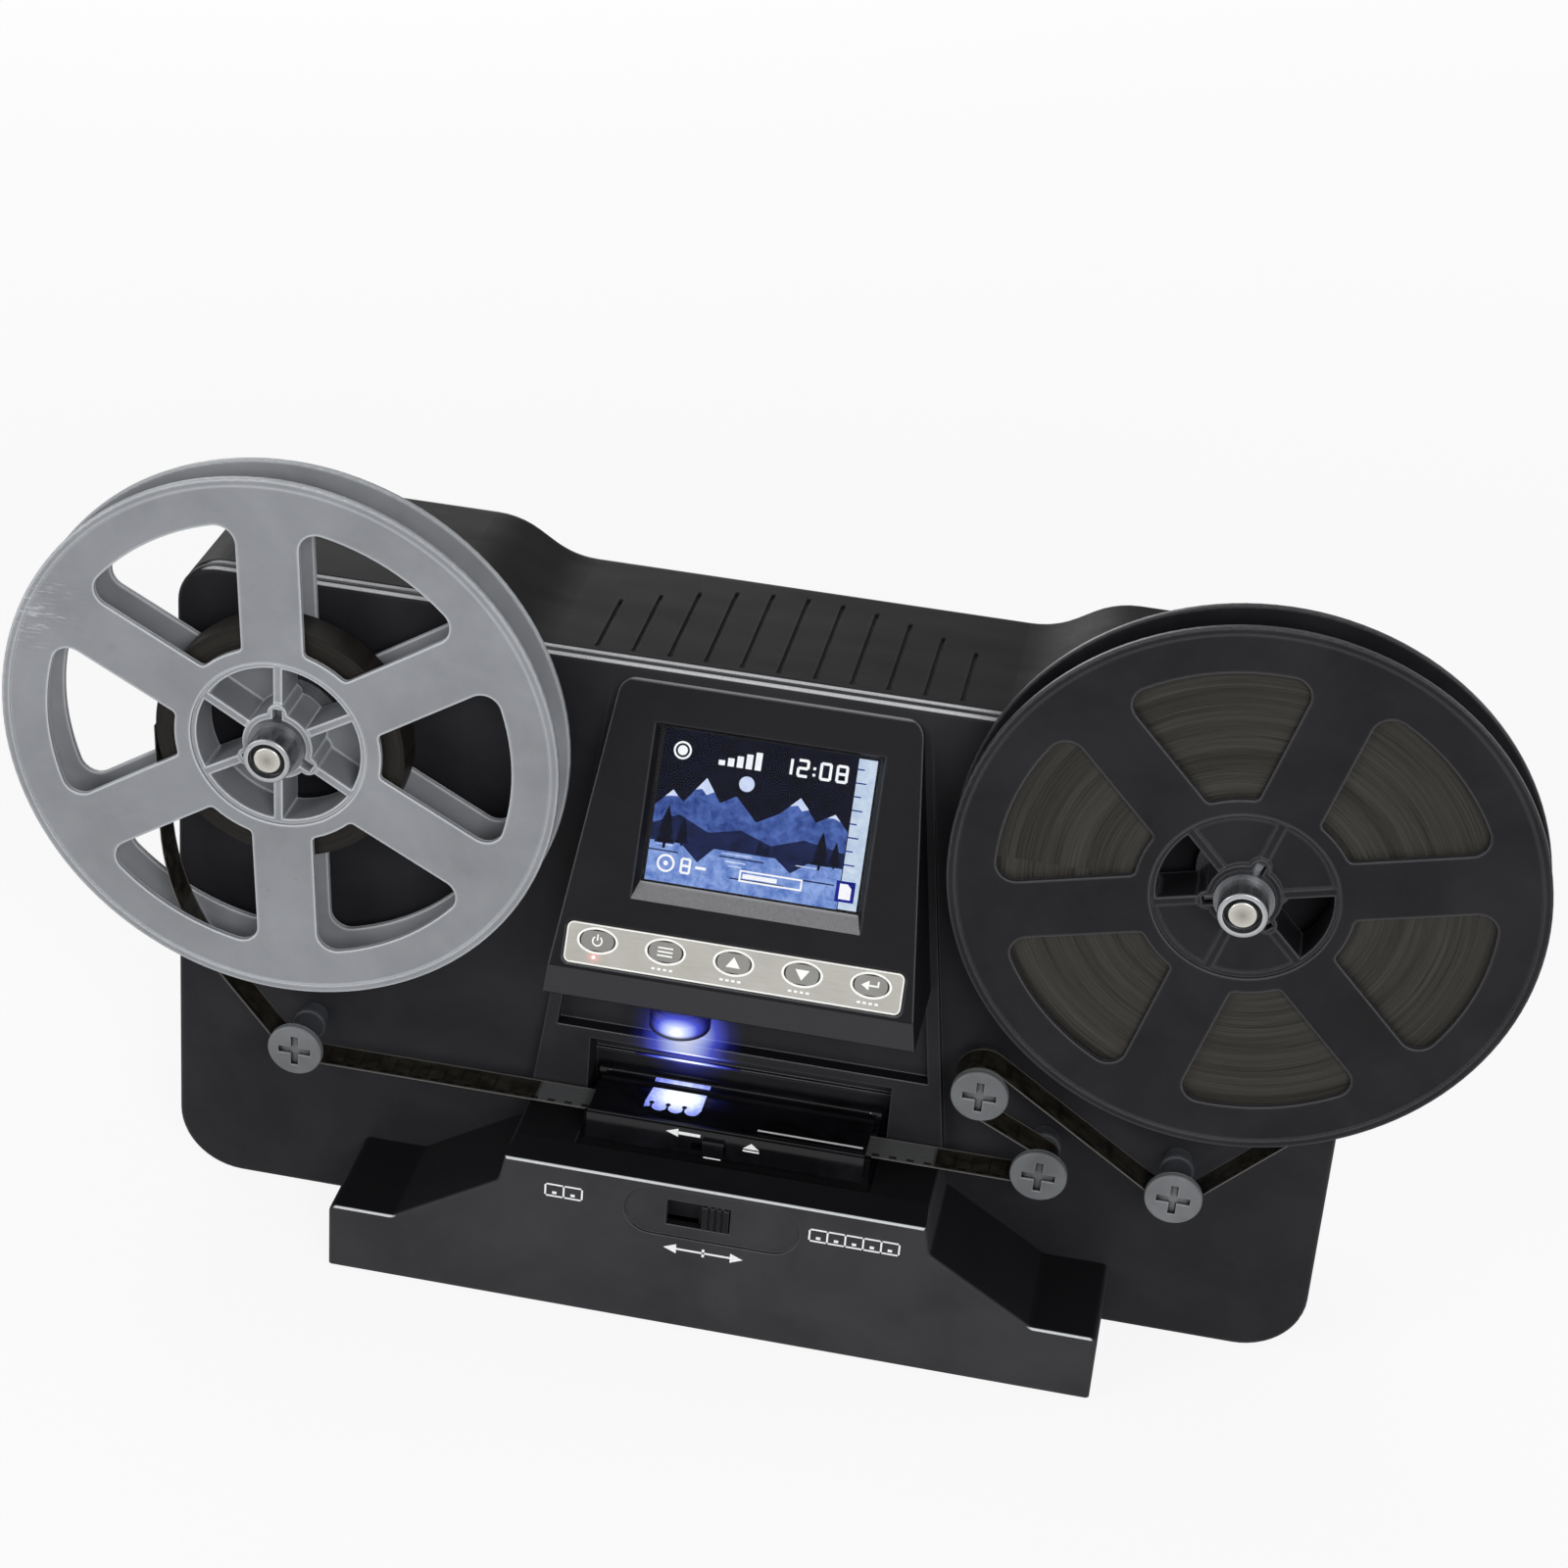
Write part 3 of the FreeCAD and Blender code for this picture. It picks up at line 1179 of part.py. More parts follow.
def light_diffuser():
    """The milky block that spreads the light under the film."""
    half = APERTURE_WIDTH / 2
    deep = APERTURE_DEPTH / 2
    block = box(
        GATE_WINDOW_X - half, GATE_WINDOW_X + half, lens_y() - deep, lens_y() + deep, gate_floor() - BASE_WALL,
        channel_floor() - GATE_CLEARANCE)
    bottom = gate_floor() - BASE_WALL
    wide = half + DIFFUSER_FLANGE
    far = deep + DIFFUSER_FLANGE
    flange = box(GATE_WINDOW_X - wide, GATE_WINDOW_X + wide, lens_y() - far, lens_y() + far, bottom - 1, bottom)
    return union([block, flange])


def led_board():
    """The board with the white light under the diffuser."""
    top = gate_floor() - BASE_WALL - 1
    half = APERTURE_WIDTH / 2 + LED_BOARD_MARGIN
    deep = APERTURE_DEPTH / 2 + LED_BOARD_MARGIN
    x = GATE_WINDOW_X
    y = lens_y()
    size = LAMP_SIZE / 2
    board = box(x - half, x + half, y - deep, y + deep, top - 1 - BOARD_THICKNESS, top - 1)
    lamp = box(x - size, x + size, y - size, y + size, top - 1, top)
    return union([board, lamp])


# Camera

def lens_barrel():
    """The lens barrel that looks down on the film, with its rim and glass seat."""
    top = camera_board_z()
    x = GATE_WINDOW_X
    y = lens_y()
    barrel = upright(LENS_RADIUS, LENS_BOTTOM, top, x, y)
    seat = LENS_BOTTOM + LENS_SEAT_DEPTH
    cuts = [upright(LENS_GLASS_RADIUS, LENS_BOTTOM, seat, x, y)]
    for i in range(LENS_RING_COUNT):
        z = LENS_BOTTOM + (i + 1) * LENS_RING_PITCH
        outer = upright(LENS_RADIUS + 1, z, z + LENS_RING_WIDTH, x, y)
        cuts.append(outer.cut(upright(LENS_RADIUS - LENS_RING_DEPTH, z, z + LENS_RING_WIDTH, x, y)))
    glass = upright(LENS_GLASS_RADIUS - FIT_CLEARANCE, seat - LENS_GLASS_THICKNESS, seat, x, y)
    return Part.makeCompound([less(barrel, cuts), glass])


def camera_board():
    """The sensor board on top of the lens barrel, with the feet that hold it to the console."""
    half = CAMERA_BOARD_SIZE / 2
    x = GATE_WINDOW_X
    y = lens_y()
    low = camera_board_z()
    solids = [box(x - half, x + half, y - half + CAMERA_BOARD_NOTCH, y + half, low, low + BOARD_THICKNESS)]
    for side in (-1, 1):
        middle = x + side * (half - CAMERA_FOOT_INSET)
        solids.append(box(middle - 1, middle + 1, y - 2, y + 2, low - CAMERA_BOARD_LIFT, low))
    return union(solids)


def camera_board_z():
    """The underside of the camera board, over the console's floor."""
    return lip_bottom() + CONSOLE_WALL + CAMERA_BOARD_LIFT


# Film advance

def advance_motor_front():
    """The front face of the advance motor, behind cam and claw."""
    return claw_y() + CLAW_THICKNESS / 2 + SOCKET_CLEARANCE + CAM_THICKNESS + SOCKET_CLEARANCE


def advance_motor():
    """The small motor that drives the claw, on its pillar from the base plate."""
    front = advance_motor_front()
    body = rod(ADVANCE_MOTOR_RADIUS, front, -ADVANCE_MOTOR_GAP, ADVANCE_X, ADVANCE_Z)
    floor = FOOT_HEIGHT + BASE_PLATE_THICKNESS
    half = ADVANCE_PILLAR_WIDTH / 2
    near = front + 1
    pillar = box(ADVANCE_X - half, ADVANCE_X + half, near, near + ADVANCE_PILLAR_DEPTH, floor, ADVANCE_Z)
    reach = front + ADVANCE_SHAFT_REACH + MOTOR_SHAFT_ROOM
    room = rod(MOTOR_SHAFT_RADIUS + FIT_CLEARANCE, front, reach, ADVANCE_X, ADVANCE_Z)
    return less(union([body, pillar]), [room])


def advance_cam():
    """The crank disc on the advance motor's shaft, with its eccentric pin."""
    front = advance_motor_front()
    back = claw_y() + CLAW_THICKNESS / 2 + SOCKET_CLEARANCE
    return union([
        rod(CAM_RADIUS, back, back + CAM_THICKNESS, ADVANCE_X, ADVANCE_Z),
        rod(MOTOR_SHAFT_RADIUS, back, front + ADVANCE_SHAFT_REACH, ADVANCE_X, ADVANCE_Z),
        rod(CAM_PIN_RADIUS, claw_y() - CLAW_THICKNESS / 2, back, ADVANCE_X, ADVANCE_Z + CAM_PIN_OFFSET),
    ])


def claw_guide_z():
    """The height of the guide that the claw slides on."""
    return gate_floor() - BASE_WALL - CLAW_ARM_HEIGHT - 1


def claw():
    """The claw: a plate round the crank pin, an arm and the tooth under the film."""
    front = claw_y() - CLAW_THICKNESS / 2
    back = claw_y() + CLAW_THICKNESS / 2
    room = CAM_PIN_OFFSET + CAM_PIN_RADIUS + CLAW_STROKE + SOCKET_CLEARANCE
    frame = CLAW_ARM_HEIGHT / 2
    tall = CAM_PIN_OFFSET + CAM_PIN_RADIUS + SOCKET_CLEARANCE
    wide = room + frame
    high = tall + frame
    ring = box(ADVANCE_X - wide, ADVANCE_X + wide, front, back, ADVANCE_Z - high, ADVANCE_Z + high)
    window = box(ADVANCE_X - room, ADVANCE_X + room, front, back, ADVANCE_Z - tall, ADVANCE_Z + tall)
    arm_top = claw_guide_z() + CLAW_ARM_HEIGHT
    arm = box(ADVANCE_X - frame, ADVANCE_X + frame, front, back, ADVANCE_Z + tall, arm_top)
    half = CLAW_TOOTH_WIDTH / 2
    tip = film_plane() - FILM_THICKNESS / 2 - FILM_GAP
    tooth = box(ADVANCE_X - half, ADVANCE_X + half, front, back, claw_guide_z(), tip)
    return less(union([ring, arm, tooth]), [window])


def claw_guide():
    """The grooved rail under the base's table that carries the claw."""
    front = claw_y() - CLAW_THICKNESS / 2
    back = claw_y() + CLAW_THICKNESS / 2
    top = gate_floor() - BASE_WALL
    half = CLAW_ARM_HEIGHT / 2 + CLAW_STROKE + CLAW_GUIDE_MARGIN
    low = top - CLAW_ARM_HEIGHT
    left = ADVANCE_X - half
    right = ADVANCE_X + half
    rail = box(left, right, front - 2, back + 2, low, top)
    groove = box(left, right, front - FIT_CLEARANCE, back + FIT_CLEARANCE, low, top)
    bridge = box(left, left + CLAW_GUIDE_MARGIN / 2, front - 2, back + 2, low, top)
    other = box(right - CLAW_GUIDE_MARGIN / 2, right, front - 2, back + 2, low, top)
    return union([rail.cut(groove), bridge, other])


# Reels

def polar(x, z, radius, angle):
    """A point of the front view at a radius and an angle in degrees from a centre."""
    turn = math.radians(angle)
    return x + radius * math.cos(turn), z + radius * math.sin(turn)


def turned(shape, x, z, angle):
    """The shape turned anticlockwise, seen from the front, about an axis along Y."""
    copy = shape.copy()
    copy.rotate(Vector(x, 0, z), Y_AXIS, -angle)
    return copy


def reel_window(x, z, y0, y1):
    """One window between two spokes, drawn pointing along +X of the reel."""
    half_turn = math.pi / SPOKE_COUNT
    spoke = SPOKE_WIDTH / 2
    inner = spoke / math.sin(half_turn)
    sharp = 2 * WINDOW_OUTER_RADIUS
    wedge = front_prism([
        (x + inner, z, 0),
        (x + inner + sharp * math.cos(half_turn), z - sharp * math.sin(half_turn), 0),
        (x + inner + sharp * math.cos(half_turn), z + sharp * math.sin(half_turn), 0),
    ], y0, y1)
    ring = pipe(WINDOW_OUTER_RADIUS, WINDOW_INNER_RADIUS, y0, y1, x, z)
    window = ring.common(wedge)
    corner_radius = WINDOW_OUTER_RADIUS - WINDOW_OUTER_CORNER

    def upright_edge(edge, far):
        bounds = edge.BoundBox
        along_y = bounds.YLength > (y1 - y0) / 2 and max(bounds.XLength, bounds.ZLength) < SAME_PLANE
        reach = math.hypot(bounds.XMin - x, bounds.ZMin - z)
        return along_y and (reach > corner_radius) == far

    window = softened(window, WINDOW_OUTER_CORNER, lambda edge: upright_edge(edge, True))
    return softened(window, WINDOW_INNER_CORNER, lambda edge: upright_edge(edge, False))


def reel_back():
    """The rear face of a reel."""
    return -REEL_FRONT + REEL_WIDTH


def flange(side, spoke_angle, outside, inside):
    """One flange between its outer and inner face: rim bead, spokes and central opening."""
    x = spindle_x(side)
    low, high = sorted((outside, inside))
    step = FLANGE_RIM_STEP if outside < inside else -FLANGE_RIM_STEP
    disc_low, disc_high = sorted((outside + step, inside))
    disc = rod(REEL_RADIUS - FLANGE_RIM_WIDTH, disc_low, disc_high, x, REEL_Z)
    rim = pipe(REEL_RADIUS, REEL_RADIUS - FLANGE_RIM_WIDTH, low, high, x, REEL_Z)
    rim = softened(rim, FLANGE_RIM_STEP, lambda edge: edge.BoundBox.XLength > 2 * REEL_RADIUS - ARC_SLACK)
    window = reel_window(x, REEL_Z, low - 1, high + 1)
    cuts = [rod(HUB_RING_INNER, low - 1, high + 1, x, REEL_Z)]
    for i in range(SPOKE_COUNT):
        cuts.append(turned(window, x, REEL_Z, spoke_angle + (i * 2 + 1) * HALF_SECTOR))
    return less(union([disc, rim]), cuts)


def front_flange(side, spoke_angle):
    """A reel's front flange."""
    return flange(side, spoke_angle, -REEL_FRONT, -REEL_FRONT + FLANGE_THICKNESS + FLANGE_RIM_STEP)


def rear_flange(side, spoke_angle):
    """A reel's rear flange."""
    return flange(side, spoke_angle, reel_back(), reel_back() - FLANGE_THICKNESS - FLANGE_RIM_STEP)


def spindle_bore():
    """The inner radius of a reel's hub tube."""
    return SPINDLE_BARREL_RADIUS + FIT_CLEARANCE


def hub(side, rib_angle, key_angle, panels):
    """A reel's hub: winding ring with its film slot, ribs, tube with key loops, closed panels."""
    x = spindle_x(side)
    thick = FLANGE_THICKNESS + FLANGE_RIM_STEP
    front = -REEL_FRONT + thick
    back = reel_back() - thick
    face = -REEL_FRONT + FLANGE_RIM_STEP
    rear = reel_back() - FLANGE_RIM_STEP
    ring_inner = HUB_RING_INNER - HUB_SPIGOT_WALL
    spigot = FLANGE_THICKNESS / 2
    solids = [
        pipe(HUB_RING_OUTER, ring_inner, front, back, x, REEL_Z),
        pipe(HUB_RING_INNER - FIT_CLEARANCE, ring_inner, front - spigot, back + spigot, x, REEL_Z),
        pipe(HUB_TUBE_OUTER, spindle_bore(), face, reel_back(), x, REEL_Z),
    ]
    rib = box(
        x + HUB_TUBE_OUTER - HUB_JOIN, x + HUB_RING_INNER - HUB_JOIN, face + HUB_JOIN, rear,
        REEL_Z - HUB_RIB_THICKNESS / 2, REEL_Z + HUB_RIB_THICKNESS / 2)
    for i in range(SPOKE_COUNT):
        solids.append(turned(rib, x, REEL_Z, rib_angle + i * 2 * HALF_SECTOR))
    cuts = [rod(spindle_bore(), face, reel_back(), x, REEL_Z)]
    for i in range(HUB_KEY_COUNT):
        angle = key_angle + i * KEY_SECTOR
        px, pz = polar(x, REEL_Z, HUB_TUBE_OUTER, angle)
        solids.append(rod(HUB_KEY_LOOP_RADIUS, face, rear, px, pz))
        slot = box(
            x, x + HUB_KEY_REACH, face, reel_back(), REEL_Z - HUB_KEY_WIDTH / 2, REEL_Z + HUB_KEY_WIDTH / 2)
        cuts.append(turned(slot, x, REEL_Z, angle))
    for angle, y in panels:
        solids.append(turned(hub_panel(x, y), x, REEL_Z, angle))
    clip = box(
        x + HUB_RING_INNER - 2, x + HUB_RING_OUTER + 1, front + 1, back - 1, REEL_Z - FILM_CLIP_SLOT / 2,
        REEL_Z + FILM_CLIP_SLOT / 2)
    cuts.append(turned(clip, x, REEL_Z, rib_angle + (SPOKE_COUNT / 2 + 1) * HALF_SECTOR))
    return solids[0].fuse(solids[1:]).cut(cuts)


def hub_panel(x, y):
    """A thin wall that closes one sixth of the hub, starting at a rib."""
    ring = pipe(HUB_RING_INNER - HUB_JOIN, HUB_TUBE_OUTER - HUB_JOIN, y, y + HUB_PANEL_THICKNESS, x, REEL_Z)
    turn = math.radians(2 * HALF_SECTOR)
    far = 2 * HUB_RING_OUTER
    sector = front_prism([
        (x, REEL_Z, 0), (x + far, REEL_Z, 0), (x + far * math.cos(turn), REEL_Z + far * math.sin(turn), 0),
    ], y, y + HUB_PANEL_THICKNESS)
    return ring.common(sector)


def supply_panels():
    """The supply hub's panels lie at its rear, in every other sector."""
    y = reel_back() - FLANGE_RIM_STEP - HUB_PANEL_THICKNESS
    return [(SUPPLY_KEY_ANGLE + i * KEY_SECTOR, y) for i in range(HUB_KEY_COUNT)]


def takeup_panels():
    """The take-up hub's panels lie near its front; two opposite sectors stay open."""
    y = -REEL_FRONT + FLANGE_RIM_STEP + HUB_PANEL_SINK
    shut = [i for i in range(SPOKE_COUNT) if i not in TAKEUP_OPEN_SECTORS]
    return [(TAKEUP_KEY_ANGLE + i * 2 * HALF_SECTOR, y) for i in shut]


def film_pack(side, radius):
    """Wound film: a plain core of packed turns with the outer turn ending in a small step."""
    x = spindle_x(side)
    inner = HUB_RING_OUTER + FIT_CLEARANCE
    y = film_front()
    quarter = FILM_THICKNESS / 4

    def point(u, v):
        return Vector(x + u, y, REEL_Z + v)

    start = radius - 2 * (quarter + quarter)
    first = start + quarter
    second = start + 3 * quarter
    edges = [
        Part.Arc(point(start, 0), point(-quarter, first), point(-start - 2 * quarter, 0)).toShape(),
        Part.Arc(point(-start - 2 * quarter, 0), point(quarter, -second), point(radius, 0)).toShape(),
        Part.LineSegment(point(radius, 0), point(start, 0)).toShape(),
    ]
    spiral = Part.Face(Part.Wire(edges)).extrude(Vector(0, FILM_WIDTH, 0))
    return spiral.cut(rod(inner, y, y + FILM_WIDTH, x, REEL_Z))


# Film between the reels

def film_route():
    """The circles that the film runs round: (x, z, radius, turn), turn 1 being anticlockwise."""
    sleeve = ROLLER_SLEEVE_RADIUS + FILM_GAP + FILM_THICKNESS / 2
    spots = rollers()
    gap = FILM_GAP + FILM_THICKNESS / 2
    return [
        (spindle_x(-1), REEL_Z, SUPPLY_PACK_RADIUS + gap, 1),
        (SLACK_X, SLACK_Z, SLACK_RADIUS, 1),
        spots["left"] + (sleeve, 1),
        spots["inner"] + (sleeve, 1),
        spots["high"] + (LOOP_RADIUS, -1),
        spots["outer"] + (sleeve, 1),
        (spindle_x(1), REEL_Z, TAKEUP_PACK_RADIUS + gap, 1),
    ]


def tangent_heading(first, second):
    """The direction of the straight run that leaves one circle and joins the next."""
    dx = second[0] - first[0]
    dz = second[1] - first[1]
    rise = second[2] * second[3] - first[2] * first[3]
    distance = math.hypot(dx, dz)
    return math.atan2(dz, dx) - math.asin(rise / distance)


def circle_point(circle, heading, shift):
    """Where the film with this heading lies on a circle, moved sideways by shift."""
    x, z, radius, turn = circle
    reach = radius * turn + shift
    return x + reach * math.sin(heading), z - reach * math.cos(heading)


def film_side(route, shift):
    """One side of the film, as runs and arcs at a distance from its middle."""
    headings = [tangent_heading(route[i], route[i + 1]) for i in range(len(route) - 1)]
    edges = []
    y = film_front()

    def place(spot):
        return Vector(spot[0], y, spot[1])

    for i, heading in enumerate(headings):
        start = circle_point(route[i], heading, shift)
        stop = circle_point(route[i + 1], heading, shift)
        edges.append(Part.LineSegment(place(start), place(stop)).toShape())
        if i + 1 < len(headings):
            following = headings[i + 1]
            turn = route[i + 1][3]
            sweep = (following - heading) * turn
            while sweep < 0:
                sweep += 2 * math.pi
            middle = heading + turn * sweep / 2
            spots = [circle_point(route[i + 1], angle, shift) for angle in (heading, middle, following)]
            edges.append(Part.Arc(*[place(spot) for spot in spots]).toShape())
    return edges


def film_strip():
    """The film from the supply pack over rollers and gate to the take-up pack."""
    route = film_route()
    right = film_side(route, FILM_THICKNESS / 2)
    left = film_side(route, -FILM_THICKNESS / 2)
    ends = [
        Part.LineSegment(right[0].firstVertex().Point, left[0].firstVertex().Point).toShape(),
        Part.LineSegment(right[-1].lastVertex().Point, left[-1].lastVertex().Point).toShape(),
    ]
    wire = Part.Wire(Part.__sortEdges__(right + left + ends))
    return Part.Face(wire).extrude(Vector(0, FILM_WIDTH, 0))


# Rollers

def roller_sleeve(spot):
    """A film roller: a sleeve with a small flange at the panel."""
    x, z = spot
    head_back = -ROLLER_HEAD_FRONT + ROLLER_HEAD_THICKNESS
    front = head_back + FILM_GAP
    sleeve = rod(ROLLER_SLEEVE_RADIUS, front, -FILM_GAP, x, z)
    behind = film_front() + FILM_WIDTH + ROLLER_FLANGE_GAP
    collar = rod(ROLLER_REAR_FLANGE_RADIUS, behind, behind + ROLLER_FLANGE_THICKNESS, x, z)
    return less(union([sleeve, collar]), [rod(ROLLER_AXLE_RADIUS + FIT_CLEARANCE, front, -FILM_GAP, x, z)])


def roller_axles():
    """The four large-headed pins that the rollers turn on, with a cross recess in each head."""
    pins = []
    front = -ROLLER_HEAD_FRONT
    for x, z in rollers().values():
        head = rod(ROLLER_HEAD_RADIUS, front, front + ROLLER_HEAD_THICKNESS, x, z)
        head = softened(
            head, ROLLER_HEAD_ROUND, lambda edge: on_plane_y(edge, front) and edge.BoundBox.XLength > 1)
        pin = rod(ROLLER_AXLE_RADIUS, front + ROLLER_HEAD_THICKNESS, BOSS_JOINT_Y, x, z)
        pins.append(less(union([head, pin]), cross_recess(x, z, front, 1, ROLLER_HEAD_RADIUS)))
    return Part.makeCompound(pins)


# Spindles

def collar_back():
    """The rear face of a spindle's collar."""
    return reel_back() + SPINDLE_COLLAR_THICKNESS


def spindle_seat():
    """The floor of the cup in a spindle's tip, which the screw's head sits on."""
    return -SPINDLE_TIP_OUT + SPINDLE_HEAD_SINK + SPINDLE_HEAD_HEIGHT


def spindle(side, key_angle, length):
    """A spindle: cupped tip, barrel with three keys, collar behind the reel and the shaft."""
    x = spindle_x(side)
    tip = -SPINDLE_TIP_OUT
    barrel_front = -REEL_FRONT - 1
    nose = rod(SPINDLE_TIP_RADIUS, tip, barrel_front, x, REEL_Z)
    solids = [
        softened(nose, SPINDLE_TIP_ROUND, lambda edge: on_plane_y(edge, tip)),
        rod(SPINDLE_BARREL_RADIUS, barrel_front, reel_back(), x, REEL_Z),
        rod(SPINDLE_COLLAR_RADIUS, reel_back(), collar_back(), x, REEL_Z),
        rod(SPINDLE_SHAFT_RADIUS, collar_back(), length, x, REEL_Z),
    ]
    for i in range(HUB_KEY_COUNT):
        key = box(
            x + 1, x + HUB_KEY_REACH - SOCKET_CLEARANCE, -REEL_FRONT + 2, reel_back(),
            REEL_Z - HUB_KEY_WIDTH / 2 + SOCKET_CLEARANCE, REEL_Z + HUB_KEY_WIDTH / 2 - SOCKET_CLEARANCE)
        solids.append(turned(key, x, REEL_Z, key_angle + i * KEY_SECTOR))
    cup = rod(SPINDLE_CUP_RADIUS, tip, spindle_seat(), x, REEL_Z)
    bore = rod(SPINDLE_BOLT_RADIUS, tip, tip + SPINDLE_BOLT_LENGTH + 1, x, REEL_Z)
    return Part.makeCompound([less(union(solids), [cup, bore]), spindle_screw(side)])


def spindle_screw(side):
    """The screw in a spindle's tip."""
    x = spindle_x(side)
    seat = spindle_seat()
    face = seat - SPINDLE_HEAD_HEIGHT
    head = rod(SPINDLE_SCREW_RADIUS, face, seat, x, REEL_Z)
    head = softened(head, SPINDLE_HEAD_ROUND, lambda edge: on_plane_y(edge, face))
    shank_end = -SPINDLE_TIP_OUT + SPINDLE_BOLT_LENGTH
    shank = rod(SPINDLE_BOLT_RADIUS - FIT_CLEARANCE, seat, shank_end, x, REEL_Z)
    return union([head, shank])


def bushing(side):
    """A flanged bushing in the panel that a spindle runs in."""
    x = spindle_x(side)
    inner = SPINDLE_SHAFT_RADIUS + FIT_CLEARANCE
    body = pipe(bushing_radius(), inner, 0, BUSHING_LENGTH, x, REEL_Z)
    head = pipe(BUSHING_FLANGE_RADIUS, inner, -BUSHING_FLANGE_THICKNESS, 0, x, REEL_Z)
    return union([body, head])


def shaft_end():
    """How deep the spindles reach into the body."""
    return PULLEY_Y + PULLEY_WIDTH + 2 * PULLEY_RIM + 1


def drag_washer():
    """The friction disc that brakes the supply spindle."""
    start = BUSHING_LENGTH + SOCKET_CLEARANCE
    disc = rod(DRAG_WASHER_RADIUS, start, start + DRAG_WASHER_THICKNESS, spindle_x(-1), REEL_Z)
    return disc.cut(rod(SPINDLE_SHAFT_RADIUS, start, start + DRAG_WASHER_THICKNESS, spindle_x(-1), REEL_Z))


def drag_spring():
    """The spring clip that presses the friction disc, screwed to the bearing boss."""
    x = spindle_x(-1)
    start = BUSHING_LENGTH + SOCKET_CLEARANCE + DRAG_WASHER_THICKNESS + SOCKET_CLEARANCE
    half = DRAG_SPRING_WIDTH / 2
    low = REEL_Z - DRAG_POST_DROP
    plate = box(x - half, x + half, start, start + DRAG_SPRING_THICKNESS, low - half, REEL_Z + half + 2)
    hole = rod(SPINDLE_SHAFT_RADIUS + SOCKET_CLEARANCE, start, start + DRAG_SPRING_THICKNESS, x, REEL_Z)
    post = rod(DRAG_POST_RADIUS, BODY_WALL, start, x, low)
    return union([plate.cut(hole), post])


# Take-up drive

def pulley_disc(radius, bore, x, z):
    """A belt pulley with two rims."""
    start = PULLEY_Y + PULLEY_RIM
    stop = start + PULLEY_WIDTH
    solids = [
        rod(radius + PULLEY_RIM, PULLEY_Y, start, x, z),
        rod(radius, start, stop, x, z),
        rod(radius + PULLEY_RIM, stop, stop + PULLEY_RIM, x, z),
    ]
    return union(solids).cut(rod(bore, PULLEY_Y, stop + PULLEY_RIM, x, z))


def motor_z():
    """The height of the take-up motor's shaft."""
    return REEL_Z - MOTOR_DROP


def drive_belt():
    """The flat belt round both pulleys, 0.3 mm clear of them."""
    gap = SOCKET_CLEARANCE
    front = PULLEY_Y + PULLEY_RIM + gap
    back = PULLEY_Y + PULLEY_RIM + PULLEY_WIDTH - gap
    outer = belt_slab(gap + BELT_THICKNESS, front, back)
    return outer.cut(belt_slab(gap, front, back))


def belt_slab(grow, y0, y1):
    """The filled outline of the belt at a distance from the pulleys."""
    x = spindle_x(1)
    large = TAKEUP_PULLEY_RADIUS + grow
    small = MOTOR_PULLEY_RADIUS + grow
    low = motor_z()
    lean = math.asin((large - small) / MOTOR_DROP)
    cosine = math.cos(lean)
    sine = math.sin(lean)

    def spot(u, v):
        return Vector(x + u, y0, v)

    a = spot(large * cosine, REEL_Z - large * sine)
    b = spot(-large * cosine, REEL_Z - large * sine)
    c = spot(-small * cosine, low - small * sine)
    d = spot(small * cosine, low - small * sine)
    edges = [
        Part.Arc(a, spot(0, REEL_Z + large), b).toShape(),
        Part.LineSegment(b, c).toShape(),
        Part.Arc(c, spot(0, low - small), d).toShape(),
        Part.LineSegment(d, a).toShape(),
    ]
    return Part.Face(Part.Wire(edges)).extrude(Vector(0, y1 - y0, 0))


def takeup_motor():
    """The take-up motor, its front face behind the pulleys."""
    x = spindle_x(1)
    front = shaft_end() + MOTOR_BRACKET_THICKNESS
    back = BODY_DEPTH - BODY_WALL - MOTOR_REAR_GAP
    body = rod(MOTOR_RADIUS, front, back, x, motor_z())
    body = softened(body, MOTOR_EDGE_RADIUS, lambda edge: on_plane_y(edge, back))
    room = front + MOTOR_SHAFT_REACH + MOTOR_SHAFT_ROOM
    return body.cut(rod(MOTOR_SHAFT_RADIUS + FIT_CLEARANCE, front, room, x, motor_z()))


def motor_bracket():
    """The sheet bracket that holds the motor off the panel."""
    x = spindle_x(1)
    z = motor_z()
    front = shaft_end()
    back = front + MOTOR_BRACKET_THICKNESS
    half = MOTOR_FLOOR_HALF
    plate = box(x - half, x + half, front, back, z - half, z + half)
    solids = [plate]
    for side in (-1, 1):
        edge = x + side * MOTOR_FLOOR_HALF
        low, high = sorted((edge, edge - side * MOTOR_BRACKET_THICKNESS))
        solids.append(box(low, high, BODY_WALL, front, z - MOTOR_FLOOR_HALF, z + MOTOR_EAR_RISE))
    hole = rod(MOTOR_SHAFT_RADIUS + MOTOR_HOLE_CLEARANCE, front, back, x, z)
    return less(union(solids), [hole])


def takeup_pulley():
    """The large pulley on the take-up spindle."""
    return pulley_disc(TAKEUP_PULLEY_RADIUS, SPINDLE_SHAFT_RADIUS, spindle_x(1), REEL_Z)


def motor_pulley():
    """The small pulley with the motor's shaft."""
    x = spindle_x(1)
    pulley = pulley_disc(MOTOR_PULLEY_RADIUS, MOTOR_SHAFT_RADIUS, x, motor_z())
    reach = shaft_end() + MOTOR_BRACKET_THICKNESS + MOTOR_SHAFT_REACH
    shaft = rod(MOTOR_SHAFT_RADIUS, PULLEY_Y, reach, x, motor_z())
    return union([pulley, shaft])


# Main board and sockets

def main_board_front():
    """The front face of the main board, in the rear cover."""
    return BODY_DEPTH - BODY_WALL - MAIN_BOARD_GAP - BOARD_THICKNESS


